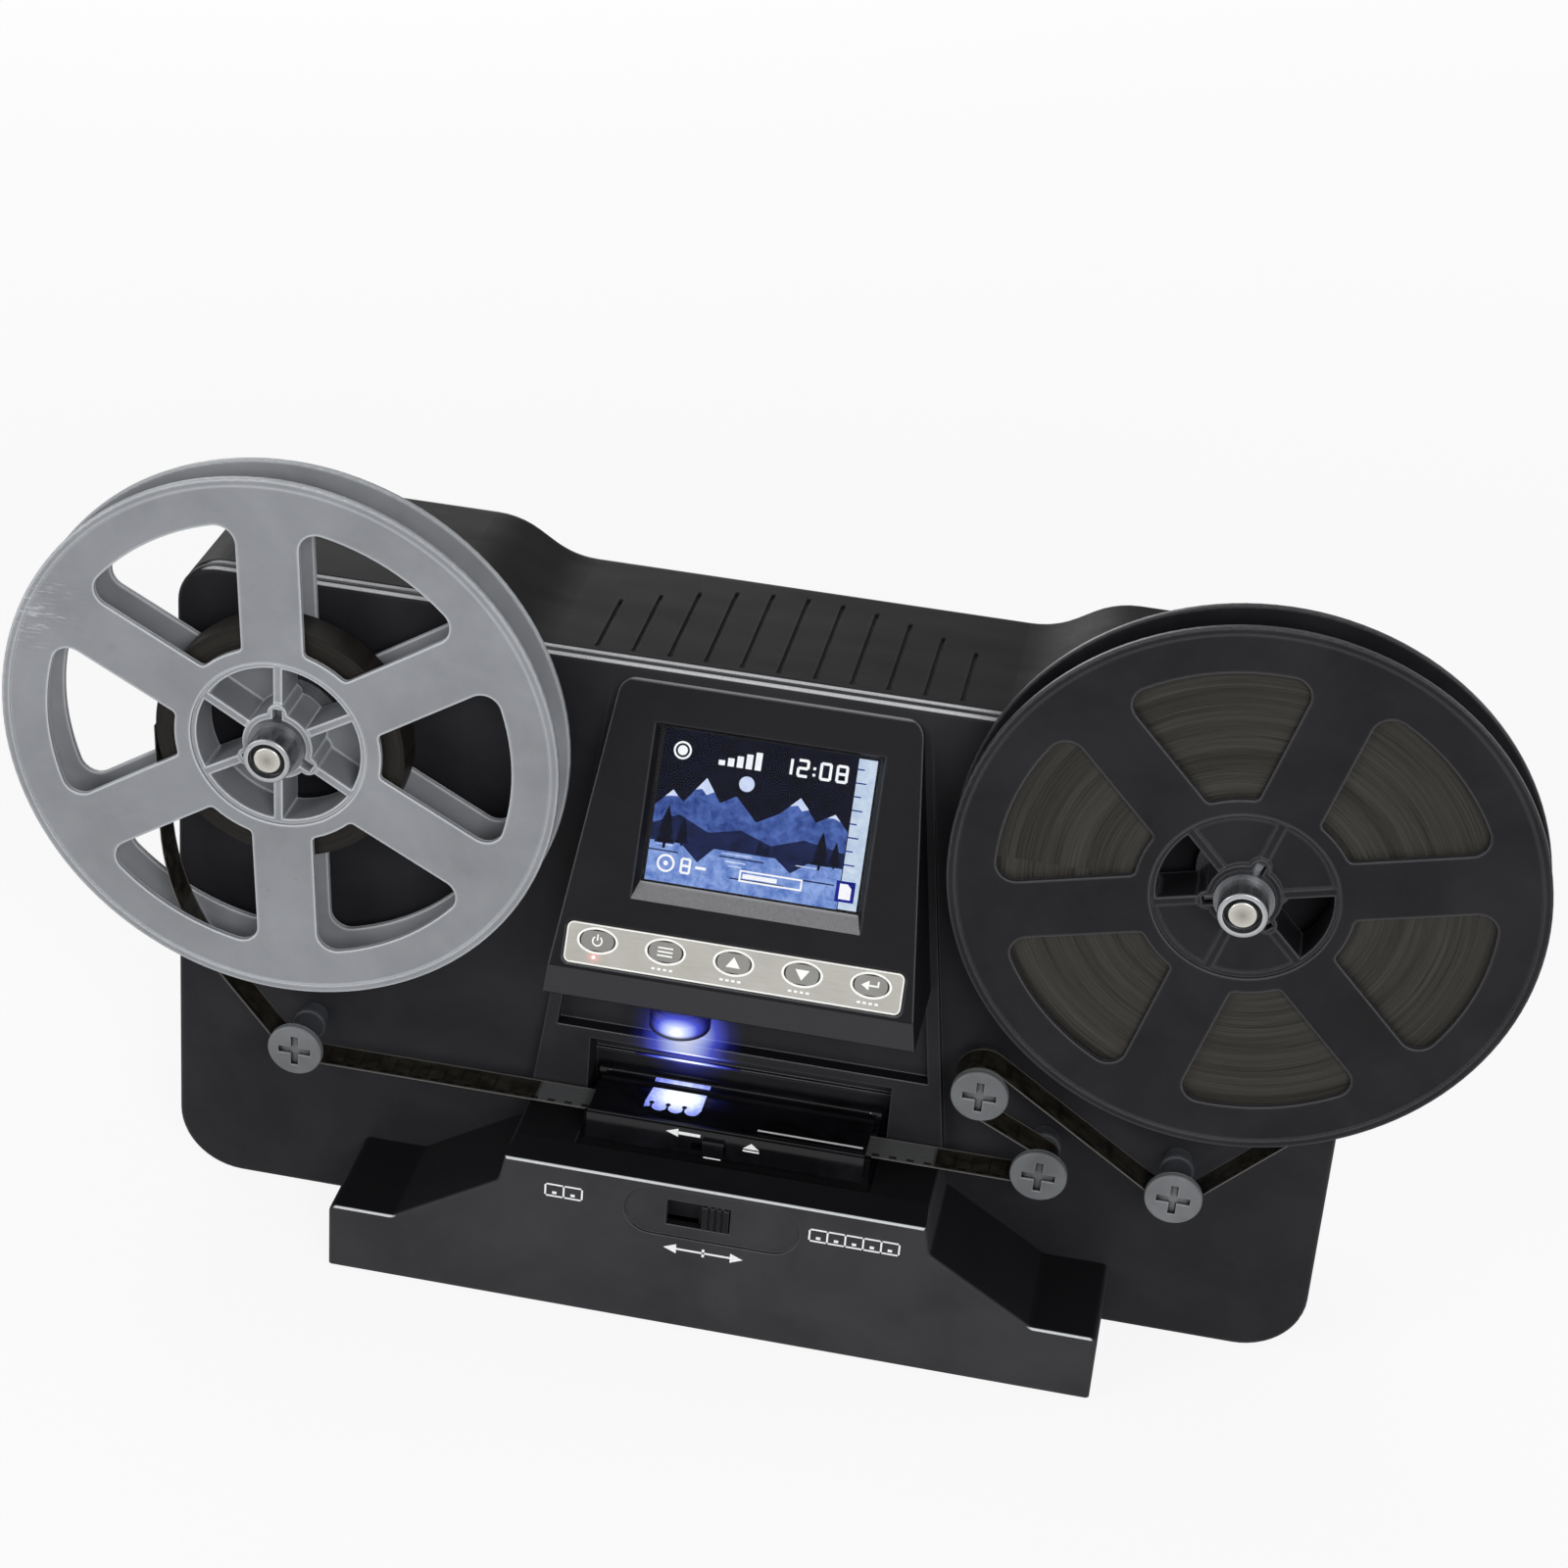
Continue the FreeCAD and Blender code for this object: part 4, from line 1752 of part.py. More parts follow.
def main_board():
    """The main board behind the rear wall's sockets, on four posts, with its chips."""
    front = main_board_front()
    back = front + BOARD_THICKNESS
    half = MAIN_BOARD_HALF_WIDTH
    low = MAIN_BOARD_BOTTOM
    solids = [box(-half, half, front, back, low, MAIN_BOARD_TOP)]
    chip = CHIP_SIZE / 2
    for x, rise in CHIP_PLACES:
        z = low + rise
        solids.append(box(x - chip, x + chip, front - CHIP_HEIGHT, front, z - chip, z + chip))
    for side in (-1, 1):
        for z in (MAIN_BOARD_TOP - BOARD_POST_INSET, low + BOARD_POST_INSET):
            x = side * (half - BOARD_POST_INSET)
            solids.append(rod(BOARD_POST_RADIUS, back, BODY_DEPTH - BODY_WALL, x, z))
    return union(solids)


def socket_board():
    """The lower board that carries the sockets, lying flat behind the rear wall."""
    top = SOCKET_Z - DC_JACK_SIZE / 2
    wall = BODY_DEPTH - BODY_WALL
    front = wall - SD_CARD_LENGTH - SOCKET_BOARD_MARGIN
    half = MAIN_BOARD_HALF_WIDTH
    solids = [box(-half, half, front, wall, top - BOARD_THICKNESS, top)]
    floor = FOOT_HEIGHT + BODY_WALL
    for side in (-1, 1):
        for y in (front + BOARD_POST_INSET, wall - BOARD_POST_INSET):
            x = side * (half - BOARD_POST_INSET)
            solids.append(upright(BOARD_POST_RADIUS, floor, top - BOARD_THICKNESS, x, y))
    return union(solids)


def dc_jack():
    """The power jack."""
    back = BODY_DEPTH - BODY_WALL
    half = DC_JACK_SIZE / 2
    x = DC_JACK_X
    front = back - DC_JACK_LENGTH
    body = box(x - half, x + half, front, back, SOCKET_Z - half, SOCKET_Z + half)
    neck = rod(DC_JACK_RADIUS, back, BODY_DEPTH - DC_JACK_SINK, x, SOCKET_Z)
    hole = rod(DC_JACK_RADIUS - DC_JACK_SKIN, front + DC_JACK_FLOOR, BODY_DEPTH, x, SOCKET_Z)
    pin = rod(DC_JACK_PIN_RADIUS, front + DC_JACK_FLOOR, back, x, SOCKET_Z)
    return union([less(union([body, neck]), [hole]), pin])


def usb_port():
    """The USB socket with its tongue, on a plinth."""
    back = BODY_DEPTH - SOCKET_SINK
    half = USB_WIDTH / 2
    high = USB_HEIGHT / 2
    floor = SOCKET_Z - DC_JACK_SIZE / 2
    left = USB_PORT_X - half
    right = USB_PORT_X + half
    front = back - USB_LENGTH
    skin = USB_SKIN
    tongue_side = 2 * (skin + skin)
    shell = box(left, right, front, back, SOCKET_Z - high, SOCKET_Z + high)
    room = box(left + skin, right - skin, front + 1, back, SOCKET_Z - high + skin, SOCKET_Z + high - skin)
    tongue = box(left + tongue_side, right - tongue_side, front + 1, back - 1, SOCKET_Z - skin, SOCKET_Z + skin)
    plinth = box(left, right, front, BODY_DEPTH - BODY_WALL, floor, SOCKET_Z - high)
    return union([less(shell, [room]), tongue, plinth])


def sd_slot():
    """The memory card's slot on its plinth."""
    grow = SOCKET_CLEARANCE
    half = SD_CARD_WIDTH / 2 + grow
    high = SD_CARD_THICKNESS / 2 + FIT_CLEARANCE
    back = BODY_DEPTH - BODY_WALL
    front = back - SD_CARD_LENGTH
    floor = SOCKET_Z - DC_JACK_SIZE / 2
    x = SD_SLOT_X
    case = box(x - half - SD_WALL, x + half + SD_WALL, front, back, floor, SOCKET_Z + high + SD_WALL)
    room = box(x - half, x + half, front + SD_WALL, back, SOCKET_Z - high, SOCKET_Z + high)
    return less(case, [room])


def sd_card():
    """The memory card, with its cut corner."""
    half = SD_CARD_WIDTH / 2
    high = SD_CARD_THICKNESS / 2
    back = BODY_DEPTH - SOCKET_SINK
    front = back - SD_CARD_LENGTH
    card = plan_prism([
        (SD_SLOT_X - half, front + SD_CARD_CORNER, 0), (SD_SLOT_X - half + SD_CARD_CORNER, front, 0),
        (SD_SLOT_X + half, front, SD_CARD_ROUND), (SD_SLOT_X + half, back, SD_CARD_ROUND),
        (SD_SLOT_X - half, back, SD_CARD_ROUND),
    ], SOCKET_Z - high, SOCKET_Z + high)
    return card


# Assembly

def pieces():
    """Every piece of the scanner by its name."""
    named = {
        "front_housing": front_housing(),
        "rear_cover": rear_cover(),
        "housing_screws": housing_screws(),
        "base_shell": base_shell(),
        "base_plate": base_plate(),
        "rubber_feet": rubber_feet(),
        "select_knob": select_knob(),
        "select_switch": select_switch(),
        "console_bezel": console_bezel(),
        "screen_window": screen_window(),
        "lcd_module": lcd_module(),
        "button_strip": button_strip(),
        "button_board": button_board(),
        "gate_bed": gate_bed(),
        "gate_door": gate_door(),
        "gate_latch": gate_latch(),
        "hinge_pin": hinge_pin(),
        "light_diffuser": light_diffuser(),
        "led_board": led_board(),
        "lens_barrel": lens_barrel(),
        "camera_board": camera_board(),
        "advance_motor": advance_motor(),
        "advance_cam": advance_cam(),
        "film_claw": claw(),
        "supply_front_flange": front_flange(-1, SUPPLY_SPOKE_ANGLE),
        "supply_rear_flange": rear_flange(-1, SUPPLY_SPOKE_ANGLE),
        "supply_hub": hub(-1, SUPPLY_KEY_ANGLE, SUPPLY_KEY_ANGLE, supply_panels()),
        "supply_film": film_pack(-1, SUPPLY_PACK_RADIUS),
        "supply_spindle": spindle(-1, SUPPLY_KEY_ANGLE, shaft_end()),
        "supply_bushing": bushing(-1),
        "drag_washer": drag_washer(),
        "drag_spring": drag_spring(),
        "takeup_front_flange": front_flange(1, TAKEUP_SPOKE_ANGLE),
        "takeup_rear_flange": rear_flange(1, TAKEUP_SPOKE_ANGLE),
        "takeup_hub": hub(1, TAKEUP_KEY_ANGLE, TAKEUP_KEY_ANGLE, takeup_panels()),
        "takeup_film": film_pack(1, TAKEUP_PACK_RADIUS),
        "takeup_spindle": spindle(1, TAKEUP_KEY_ANGLE, shaft_end()),
        "takeup_bushing": bushing(1),
        "takeup_pulley": takeup_pulley(),
        "drive_belt": drive_belt(),
        "motor_pulley": motor_pulley(),
        "takeup_motor": takeup_motor(),
        "motor_bracket": motor_bracket(),
        "roller_axles": roller_axles(),
        "film_strip": film_strip(),
        "main_board": main_board(),
        "socket_board": socket_board(),
        "dc_jack": dc_jack(),
        "usb_port": usb_port(),
        "sd_slot": sd_slot(),
        "sd_card": sd_card(),
    }
    for i, name in enumerate(BUTTON_NAMES):
        named["button_" + name] = button(i)
    for name, spot in rollers().items():
        named["roller_" + name] = roller_sleeve(spot)
    return named


def main():
    """Moves each piece to the part's own frame and writes it to its file."""
    os.makedirs("parts", exist_ok=True)
    for name, shape in pieces().items():
        shape.translate(Vector(0, ORIGIN_SHIFT_Y, 0))
        shape.exportStep("parts/" + name + ".step")
        print(name, "solids", len(shape.Solids), "valid", shape.isValid(), "volume", round(shape.Volume, 1))


main()
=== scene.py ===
import math

import bpy
from mathutils import Matrix, Vector


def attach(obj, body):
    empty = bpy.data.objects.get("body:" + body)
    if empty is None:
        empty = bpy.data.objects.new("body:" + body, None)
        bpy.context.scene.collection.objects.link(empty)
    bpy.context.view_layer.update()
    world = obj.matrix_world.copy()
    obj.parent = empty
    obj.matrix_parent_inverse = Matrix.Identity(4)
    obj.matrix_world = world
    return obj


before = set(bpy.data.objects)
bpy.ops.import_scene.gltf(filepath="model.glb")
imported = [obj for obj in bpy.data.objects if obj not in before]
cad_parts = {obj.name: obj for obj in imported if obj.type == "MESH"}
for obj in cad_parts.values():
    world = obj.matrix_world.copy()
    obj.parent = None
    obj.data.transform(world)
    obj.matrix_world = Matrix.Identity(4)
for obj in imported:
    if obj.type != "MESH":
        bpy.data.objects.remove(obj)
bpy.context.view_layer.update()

# Film scanner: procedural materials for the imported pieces, printed marks, camera, light and floor.
# Lengths are in millimetres. Only the lamps, the floor and the distances of bump, bevel and occlusion
# nodes are in metres.

MM = 0.001  # metres in a millimetre
TO_MM = 1000.0
SHIFT_Y = -11.3  # the panel's front face in the frame, in millimetres
REEL_X, REEL_Z = 106.3, 131.5  # the reels' axes
CONSOLE_TOP = 153.5  # height of the console's upper edge
CONSOLE_TILT = 25.5  # its slope from upright, in degrees
BLACK = (0, 0, 0, 1)
WHITE = (1, 1, 1, 1)


def at(x, y, z):
    """A point given in millimetres from the panel's front face and the floor."""
    return Vector((x * MM, (y + SHIFT_Y) * MM, z * MM))


# node helpers

def feed(tree, node, name, value):
    """Give a node's input a constant or another node's output."""
    if isinstance(value, bpy.types.NodeSocket):
        tree.links.new(value, node.inputs[name])
    else:
        node.inputs[name].default_value = value


def new_material(name):
    """A material with an empty Principled shader."""
    material = bpy.data.materials.new(name)
    material.use_nodes = True
    tree = material.node_tree
    tree.nodes.clear()
    out = tree.nodes.new("ShaderNodeOutputMaterial")
    shader = tree.nodes.new("ShaderNodeBsdfPrincipled")
    feed(tree, out, 0, shader.outputs[0])
    return material, tree, shader


def srgb(r, g, b):
    """A colour written as 0 to 255 screen values."""
    out = []
    for c in (r, g, b):
        c /= 255.0
        out.append(c / 12.92 if c <= 0.04045 else ((c + 0.055) / 1.055) ** 2.4)
    return (*out, 1.0)


def coordinates(tree, kind="Object"):
    """Object coordinates in metres, or another kind that the node offers."""
    return tree.nodes.new("ShaderNodeTexCoord").outputs[kind]


def place(tree, stretch=(1, 1, 1), turn=(0, 0, 0)):
    """Object coordinates in millimetres, turned by radians and stretched for streaky noise."""
    mapping = tree.nodes.new("ShaderNodeMapping")
    feed(tree, mapping, "Scale", [TO_MM * s for s in stretch])
    feed(tree, mapping, "Rotation", turn)
    feed(tree, mapping, "Vector", coordinates(tree))
    return mapping.outputs["Vector"]


def split_axes(tree, vector):
    node = tree.nodes.new("ShaderNodeSeparateXYZ")
    feed(tree, node, 0, vector)
    return node.outputs


def noise(tree, vector, scale, detail=4.0, rough=0.55, distortion=0.0):
    """Fractal noise of so many waves to the millimetre."""
    node = tree.nodes.new("ShaderNodeTexNoise")
    feed(tree, node, "Scale", scale)
    feed(tree, node, "Detail", detail)
    feed(tree, node, "Roughness", rough)
    feed(tree, node, "Distortion", distortion)
    feed(tree, node, "Vector", vector)
    return node.outputs["Fac"]


def ramp(tree, value, stops):
    """A colour ramp; each stop is a position and a colour."""
    node = tree.nodes.new("ShaderNodeValToRGB")
    elements = node.color_ramp.elements
    while len(elements) < len(stops):
        elements.new(0.5)
    for element, (position, colour) in zip(elements, stops):
        element.position = position
        element.color = colour
    feed(tree, node, "Fac", value)
    return node.outputs["Color"]


def step(tree, value, low, high, before=0.0, after=1.0):
    """A grey level: before up to low, after from high on."""
    first = (before, before, before, 1)
    return ramp(tree, value, [(0.0, first), (low, first), (high, (after, after, after, 1))])


def spread(tree, value, low, high, from_low=0.0, from_high=1.0):
    """A value carried over from one range to another and held at its ends."""
    node = tree.nodes.new("ShaderNodeMapRange")
    feed(tree, node, "From Min", from_low)
    feed(tree, node, "From Max", from_high)
    feed(tree, node, "To Min", low)
    feed(tree, node, "To Max", high)
    feed(tree, node, "Value", value)
    return node.outputs["Result"]


def rise(tree, value, low, high):
    """0 up to low, 1 from high on."""
    return spread(tree, value, 0.0, 1.0, low, high)


def fall(tree, value, low, high):
    """1 up to low, 0 from high on."""
    return spread(tree, value, 1.0, 0.0, low, high)


def tune(tree, value, low, high):
    """A noise, which keeps to about 0.3 to 0.7, spread from low to high."""
    return spread(tree, value, low, high, 0.3, 0.7)


def arithmetic(tree, operation, *values):
    node = tree.nodes.new("ShaderNodeMath")
    node.operation = operation
    for i, value in enumerate(values):
        feed(tree, node, i, value)
    return node.outputs[0]


def times(tree, a, b):
    return arithmetic(tree, "MULTIPLY", a, b)


def plus(tree, a, b):
    return arithmetic(tree, "ADD", a, b)


def minus(tree, a, b):
    return arithmetic(tree, "SUBTRACT", a, b)


def apart(tree, a, b):
    """How far two values lie apart."""
    return arithmetic(tree, "ABSOLUTE", minus(tree, a, b))


def vector_math(tree, operation, *values):
    node = tree.nodes.new("ShaderNodeVectorMath")
    node.operation = operation
    for i, value in enumerate(values):
        feed(tree, node, i, value)
    return node.outputs["Value" if operation in ("DOT_PRODUCT", "LENGTH") else "Vector"]


def millimetres(tree):
    """Object x, y and z in millimetres."""
    return [times(tree, axis, TO_MM) for axis in split_axes(tree, coordinates(tree))]


def mix(tree, factor, a, b):
    """Colour a where factor is 0, b where it is 1."""
    node = tree.nodes.new("ShaderNodeMix")
    node.data_type = "RGBA"
    for index, value in ((0, factor), (6, a), (7, b)):
        feed(tree, node, index, value)
    return node.outputs[2]


def bump(tree, shader, height, strength, distance):
    """Surface relief from a height of 0 to 1, distance metres deep."""
    node = tree.nodes.new("ShaderNodeBump")
    feed(tree, node, "Strength", strength)
    feed(tree, node, "Distance", distance)
    feed(tree, node, "Height", height)
    feed(tree, shader, "Normal", node.outputs["Normal"])


def edge_wear_and_highlight(tree, radius=0.0008, low=0.04, high=0.26, down=0.15):
    """0 on flats and 1 along sharp edges, which are rubbed and also carry a painted highlight where they
    catch light from above; edges that face down get only down.
    """
    bevel = tree.nodes.new("ShaderNodeBevel")
    feed(tree, bevel, "Radius", radius)
    bevel.samples = 4
    rounded = bevel.outputs["Normal"]
    flat = tree.nodes.new("ShaderNodeNewGeometry").outputs["Normal"]
    edge = rise(tree, minus(tree, 1.0, vector_math(tree, "DOT_PRODUCT", rounded, flat)), low, high)
    turn = tree.nodes.new("ShaderNodeVectorTransform")
    turn.vector_type = "NORMAL"
    turn.convert_from = "WORLD"
    turn.convert_to = "OBJECT"
    feed(tree, turn, 0, rounded)
    upward = split_axes(tree, turn.outputs[0])["Z"]
    return times(tree, edge, spread(tree, upward, down, 1.0, 0.1, 0.6))


def facing(tree, direction, low, high):
    """1 where a surface faces a direction, fading to 0 as it turns away."""
    normal = coordinates(tree, "Normal")
    return rise(tree, vector_math(tree, "DOT_PRODUCT", normal, Vector(direction).normalized()), low, high)


# materials

def moulded(name, colour, light, roughness=(0.42, 0.56), grain=9.0, grain_bump=0.12,
            edge=(112, 112, 116), worn_and_lit=0.5, specular=0.09, painted_light_tones=()):
    """Textured moulded plastic: fine spark-eroded grain, faint mottling, dust, and edges that are rubbed
    smooth and lightened, partly as a painted highlight.

    Each entry paints shade or a highlight on surfaces that face one way: a direction, the two ends of its
    fade, a colour and how much the grain breaks it up.
    """
    material, tree, shader = new_material(name)
    v = place(tree)
    fine = noise(tree, v, grain, detail=3.0, rough=0.7)
    cloud = noise(tree, v, 0.035, detail=4.0, rough=0.6, distortion=0.4)
    slant = place(tree, stretch=(0.25, 1.0, 1.0), turn=(0.3, 0.2, 0.5))
    smear = noise(tree, slant, 0.12, detail=5.0, rough=0.65)
    base = mix(tree, rise(tree, cloud, 0.3, 0.7), colour, light)
    speck = step(tree, noise(tree, v, 4.1, detail=2.0, rough=0.5), 0.71, 0.76, after=0.5)
    base = mix(tree, times(tree, speck, 0.25), base, srgb(128, 128, 130))
    wear_and_highlight = edge_wear_and_highlight(tree)
    # the edge colour lightens edges, partly from rubbing and partly as a painted highlight
    base = mix(tree, times(tree, wear_and_highlight, worn_and_lit), base, srgb(*edge))
    # painted shade and painted highlights on surfaces by the way they face
    for direction, low, high, painted_tone, broken in painted_light_tones:
        painted_share = facing(tree, direction, low, high)
        painted_share = times(tree, painted_share, spread(tree, fine, 1.0 - broken, 1.0, 0.4, 0.56))
        base = mix(tree, painted_share, base, srgb(*painted_tone))
    feed(tree, shader, "Base Color", base)
    rough = plus(tree, tune(tree, smear, *roughness), tune(tree, fine, -0.03, 0.03))
    rough = minus(tree, rough, times(tree, wear_and_highlight, 0.08))
    feed(tree, shader, "Roughness", rough)
    feed(tree, shader, "Specular IOR Level", specular)
    bump(tree, shader, fine, strength=grain_bump, distance=0.00008)
    return material


def polished(name, colour, light):
    """Glossy moulded plastic with hairline marks and finger smears."""
    material, tree, shader = new_material(name)
    v = place(tree)
    smear = noise(tree, v, 0.07, detail=5.0, rough=0.6, distortion=0.8)
    hair = noise(tree, place(tree, stretch=(0.08, 1.0, 1.6), turn=(0, 0.25, 0)), 3.0, detail=4.0, rough=0.6)
    base = mix(tree, rise(tree, smear, 0.35, 0.65), colour, light)
    # edges lightened, partly from rubbing and partly as a painted highlight
    base = mix(tree, times(tree, edge_wear_and_highlight(tree), 0.35), base, light)
    feed(tree, shader, "Base Color", base)
    rough = plus(tree, tune(tree, smear, 0.06, 0.16), step(tree, hair, 0.6, 0.8, after=0.12))
    feed(tree, shader, "Roughness", rough)
    feed(tree, shader, "Specular IOR Level", 0.32)
    bump(tree, shader, smear, strength=0.03, distance=0.0003)
    return material


def metal(name, colour, dark, roughness, turned=False):
    """Turned or drawn metal: directional tool marks and slight tarnish."""
    material, tree, shader = new_material(name)
    feed(tree, shader, "Metallic", 1.0)
    marks = place(tree, stretch=(6.0, 0.4, 6.0) if turned else (1.0, 1.0, 1.0))
    lines = noise(tree, marks, 2.2, detail=5.0, rough=0.65)
    tarnish = noise(tree, place(tree), 0.18, detail=4.0, rough=0.6)
    feed(tree, shader, "Base Color", mix(tree, rise(tree, tarnish, 0.4, 0.72), colour, dark))
    feed(tree, shader, "Roughness", tune(tree, lines, *roughness))
    bump(tree, shader, lines, strength=0.10, distance=0.00005)
    return material


def board(name, colour, light):
    """Circuit board: solder mask over copper tracks."""
    material, tree, shader = new_material(name)
    v = place(tree)
    voronoi = tree.nodes.new("ShaderNodeTexVoronoi")
    voronoi.feature = "DISTANCE_TO_EDGE"
    feed(tree, voronoi, "Scale", 0.45)
    feed(tree, voronoi, "Vector", v)
    track = step(tree, voronoi.outputs["Distance"], 0.05, 0.07, before=1.0, after=0.0)
    patch = noise(tree, v, 0.2, detail=3.0)
    base = mix(tree, rise(tree, patch, 0.35, 0.65), colour, light)
    base = mix(tree, times(tree, track, 0.5), base, srgb(90, 140, 80))
    feed(tree, shader, "Base Color", base)
    feed(tree, shader, "Roughness", spread(tree, patch, 0.25, 0.4))
    bump(tree, shader, track, strength=0.2, distance=0.00003)
    return material


def roller_plastic():
    """Grey knob plastic, grainy, with painted shade darkening the cross recess and the corners."""
    material = moulded("roller plastic", srgb(84, 86, 88), srgb(122, 124, 126), roughness=(0.34, 0.48),
                       edge=(190, 192, 194), worn_and_lit=0.7, grain=3.2, grain_bump=0.3)
    tree = material.node_tree
    shader = tree.nodes["Principled BSDF"]
    base = shader.inputs["Base Color"].links[0].from_socket
    # painted shade: occlusion darkens the cross recess and the corners
    corners = tree.nodes.new("ShaderNodeAmbientOcclusion")
    corners.samples = 8
    corners.only_local = True
    feed(tree, corners, "Distance", 0.0016)
    recess_shade = fall(tree, corners.outputs["AO"], 0.45, 0.85)
    feed(tree, shader, "Base Color", mix(tree, recess_shade, base, srgb(26, 26, 27)))
    return material


def rubber(name):
    """Matt black rubber with grey dust on it."""
    material, tree, shader = new_material(name)
    v = place(tree)
    fine = noise(tree, v, 6.0, detail=3.0, rough=0.7)
    dust = noise(tree, v, 0.3, detail=4.0, rough=0.6)
    dusty = spread(tree, dust, 0.0, 0.5, 0.45, 0.75)
    feed(tree, shader, "Base Color", mix(tree, dusty, srgb(24, 24, 25), srgb(74, 72, 70)))
    feed(tree, shader, "Roughness", spread(tree, fine, 0.72, 0.9))
    bump(tree, shader, fine, strength=0.25, distance=0.0001)
    return material


def around_axis(tree, x, stretch):
    """Millimetres from a reel's axis, the angle round it, and both as a vector for ring-shaped noise."""
    across, _, up = millimetres(tree)
    dx, dz = minus(tree, across, x), minus(tree, up, REEL_Z)
    radius = arithmetic(tree, "SQRT", plus(tree, times(tree, dx, dx), times(tree, dz, dz)))
    angle = arithmetic(tree, "ARCTAN2", dz, dx)
    combine = tree.nodes.new("ShaderNodeCombineXYZ")
    feed(tree, combine, 0, radius)
    feed(tree, combine, 1, times(tree, angle, stretch))
    return radius, angle, combine.outputs[0]


SCUFF_ANGLE = 2.72  # where the grey reel's rim is scuffed, in radians round its axis
SCUFF_RADII = 50.0, 58.0  # the scuffs grow between these distances from the axis


def reel_plastic(name, colour, light, x, roughness, scuffed):
    """Reel plastic: circular handling marks round the axis, scuffs on the rim and fine grain."""
    material, tree, shader = new_material(name)
    v = place(tree)
    radius, angle, rings = around_axis(tree, x, 1.2)
    circles = noise(tree, rings, 2.4, detail=5.0, rough=0.7)
    fine = noise(tree, v, 7.0, detail=3.0, rough=0.7)
    cloud = noise(tree, v, 0.05, detail=4.0, rough=0.6, distortion=0.3)
    base = mix(tree, rise(tree, cloud, 0.3, 0.7), colour, light)
    base = mix(tree, spread(tree, circles, 0.0, 0.35, 0.5, 0.85), base, light)
    if scuffed:
        slant = place(tree, stretch=(0.16, 1.0, 1.3), turn=(0, -0.9, 0))
        streak = noise(tree, slant, 1.5, detail=5.0, rough=0.7)
        zone = times(tree, fall(tree, apart(tree, angle, SCUFF_ANGLE), 0.02, 0.22),
                     rise(tree, radius, *SCUFF_RADII))
        scuff = times(tree, zone, step(tree, streak, 0.54, 0.66))
        base = mix(tree, times(tree, scuff, 0.5), base, srgb(222, 224, 228))
        dirt = step(tree, noise(tree, v, 0.35, detail=6.0, rough=0.7, distortion=0.5), 0.66, 0.75)
        base = mix(tree, times(tree, dirt, 0.35), base, srgb(96, 94, 90))
    # edges lightened, partly from rubbing and partly as a painted highlight, most where they face up
    edge = edge_wear_and_highlight(tree, radius=0.0011, low=0.015, high=0.12, down=0.6)
    base = mix(tree, times(tree, edge, 0.95 if scuffed else 0.5), base,
               srgb(224, 227, 230) if scuffed else srgb(120, 120, 124))
    feed(tree, shader, "Base Color", base)
    feed(tree, shader, "Roughness", tune(tree, circles, *roughness))
    feed(tree, shader, "Specular IOR Level", 0.3 if scuffed else 0.12)
    height = plus(tree, fine, times(tree, circles, 1.5))
    bump(tree, shader, height, strength=0.12, distance=0.00006)
    return material


def wound_film(name, x, colour, light):
    """The side of wound film: hundreds of turns that stand a hair in or out, seen as fine rings."""
    material, tree, shader = new_material(name)
    turns = around_axis(tree, x, 0.35)[2]
    rings = noise(tree, turns, 3.4, detail=6.0, rough=0.75)
    bands = noise(tree, turns, 0.32, detail=3.0, rough=0.6)
    value = plus(tree, times(tree, rings, 0.6), times(tree, bands, 0.4))
    feed(tree, shader, "Base Color", mix(tree, rise(tree, value, 0.38, 0.66), colour, light))
    feed(tree, shader, "Roughness", tune(tree, rings, 0.3, 0.55))
    feed(tree, shader, "Specular IOR Level", 0.12)
    bump(tree, shader, rings, strength=0.5, distance=0.00015)
    return material


def emit(tree, shader, colour, strength):
    feed(tree, shader, "Emission Color", colour)
    feed(tree, shader, "Emission Strength", strength)


def lamp_fade(tree, centre, reach, stretch=(1, 1, 1)):
    """1 at a lamp's place, fading to 0 at reach millimetres, sooner along axes that stretch lengthens."""
    offset = vector_math(tree, "SUBTRACT", coordinates(tree), centre)
    sized = vector_math(tree, "MULTIPLY", offset, [TO_MM * v / reach for v in stretch])
    fade = fall(tree, vector_math(tree, "LENGTH", sized), 0.0, 1.0)
    return times(tree, fade, fade)


def blue_light(tree, centre, reach, stretch):
    """The gate lamp's light on black plastic: white in the middle, blue towards its edge."""
    return ramp(tree, lamp_fade(tree, centre, reach, stretch),
                [(0.0, BLACK), (0.08, srgb(16, 18, 84)), (0.26, srgb(70, 80, 205)),
                 (0.5, srgb(172, 186, 250)), (0.8, srgb(240, 244, 255))])


def housing_plastic():
    """The front moulding's plastic, with the gate lamp's light painted on where a surface faces the front,
    painted shade on its tops and a painted highlight along its upper front edge.
    """
    material = moulded("housing plastic", srgb(30, 30, 33), srgb(41, 41, 44), edge=(150, 150, 154), worn_and_lit=0.6,
                       painted_light_tones=(((0, 0, 1), 0.75, 1.0, (20, 20, 22), 0.1),
                              ((0, -0.6, 0.8), 0.93, 0.98, (214, 214, 217), 0.5)))
    tree = material.node_tree
    light = blue_light(tree, at(-13.5, 2.0, 62.5), reach=14.5, stretch=(1.0, 0.5, 0.8))
    outside = facing(tree, (0, -1, 0.2), low=0.0, high=0.2)
    emit(tree, tree.nodes["Principled BSDF"], mix(tree, outside, BLACK, light), strength=0.8)
    return material


LENS_RIM = 73.1, 73.7  # the light begins between these heights, above a dark rim


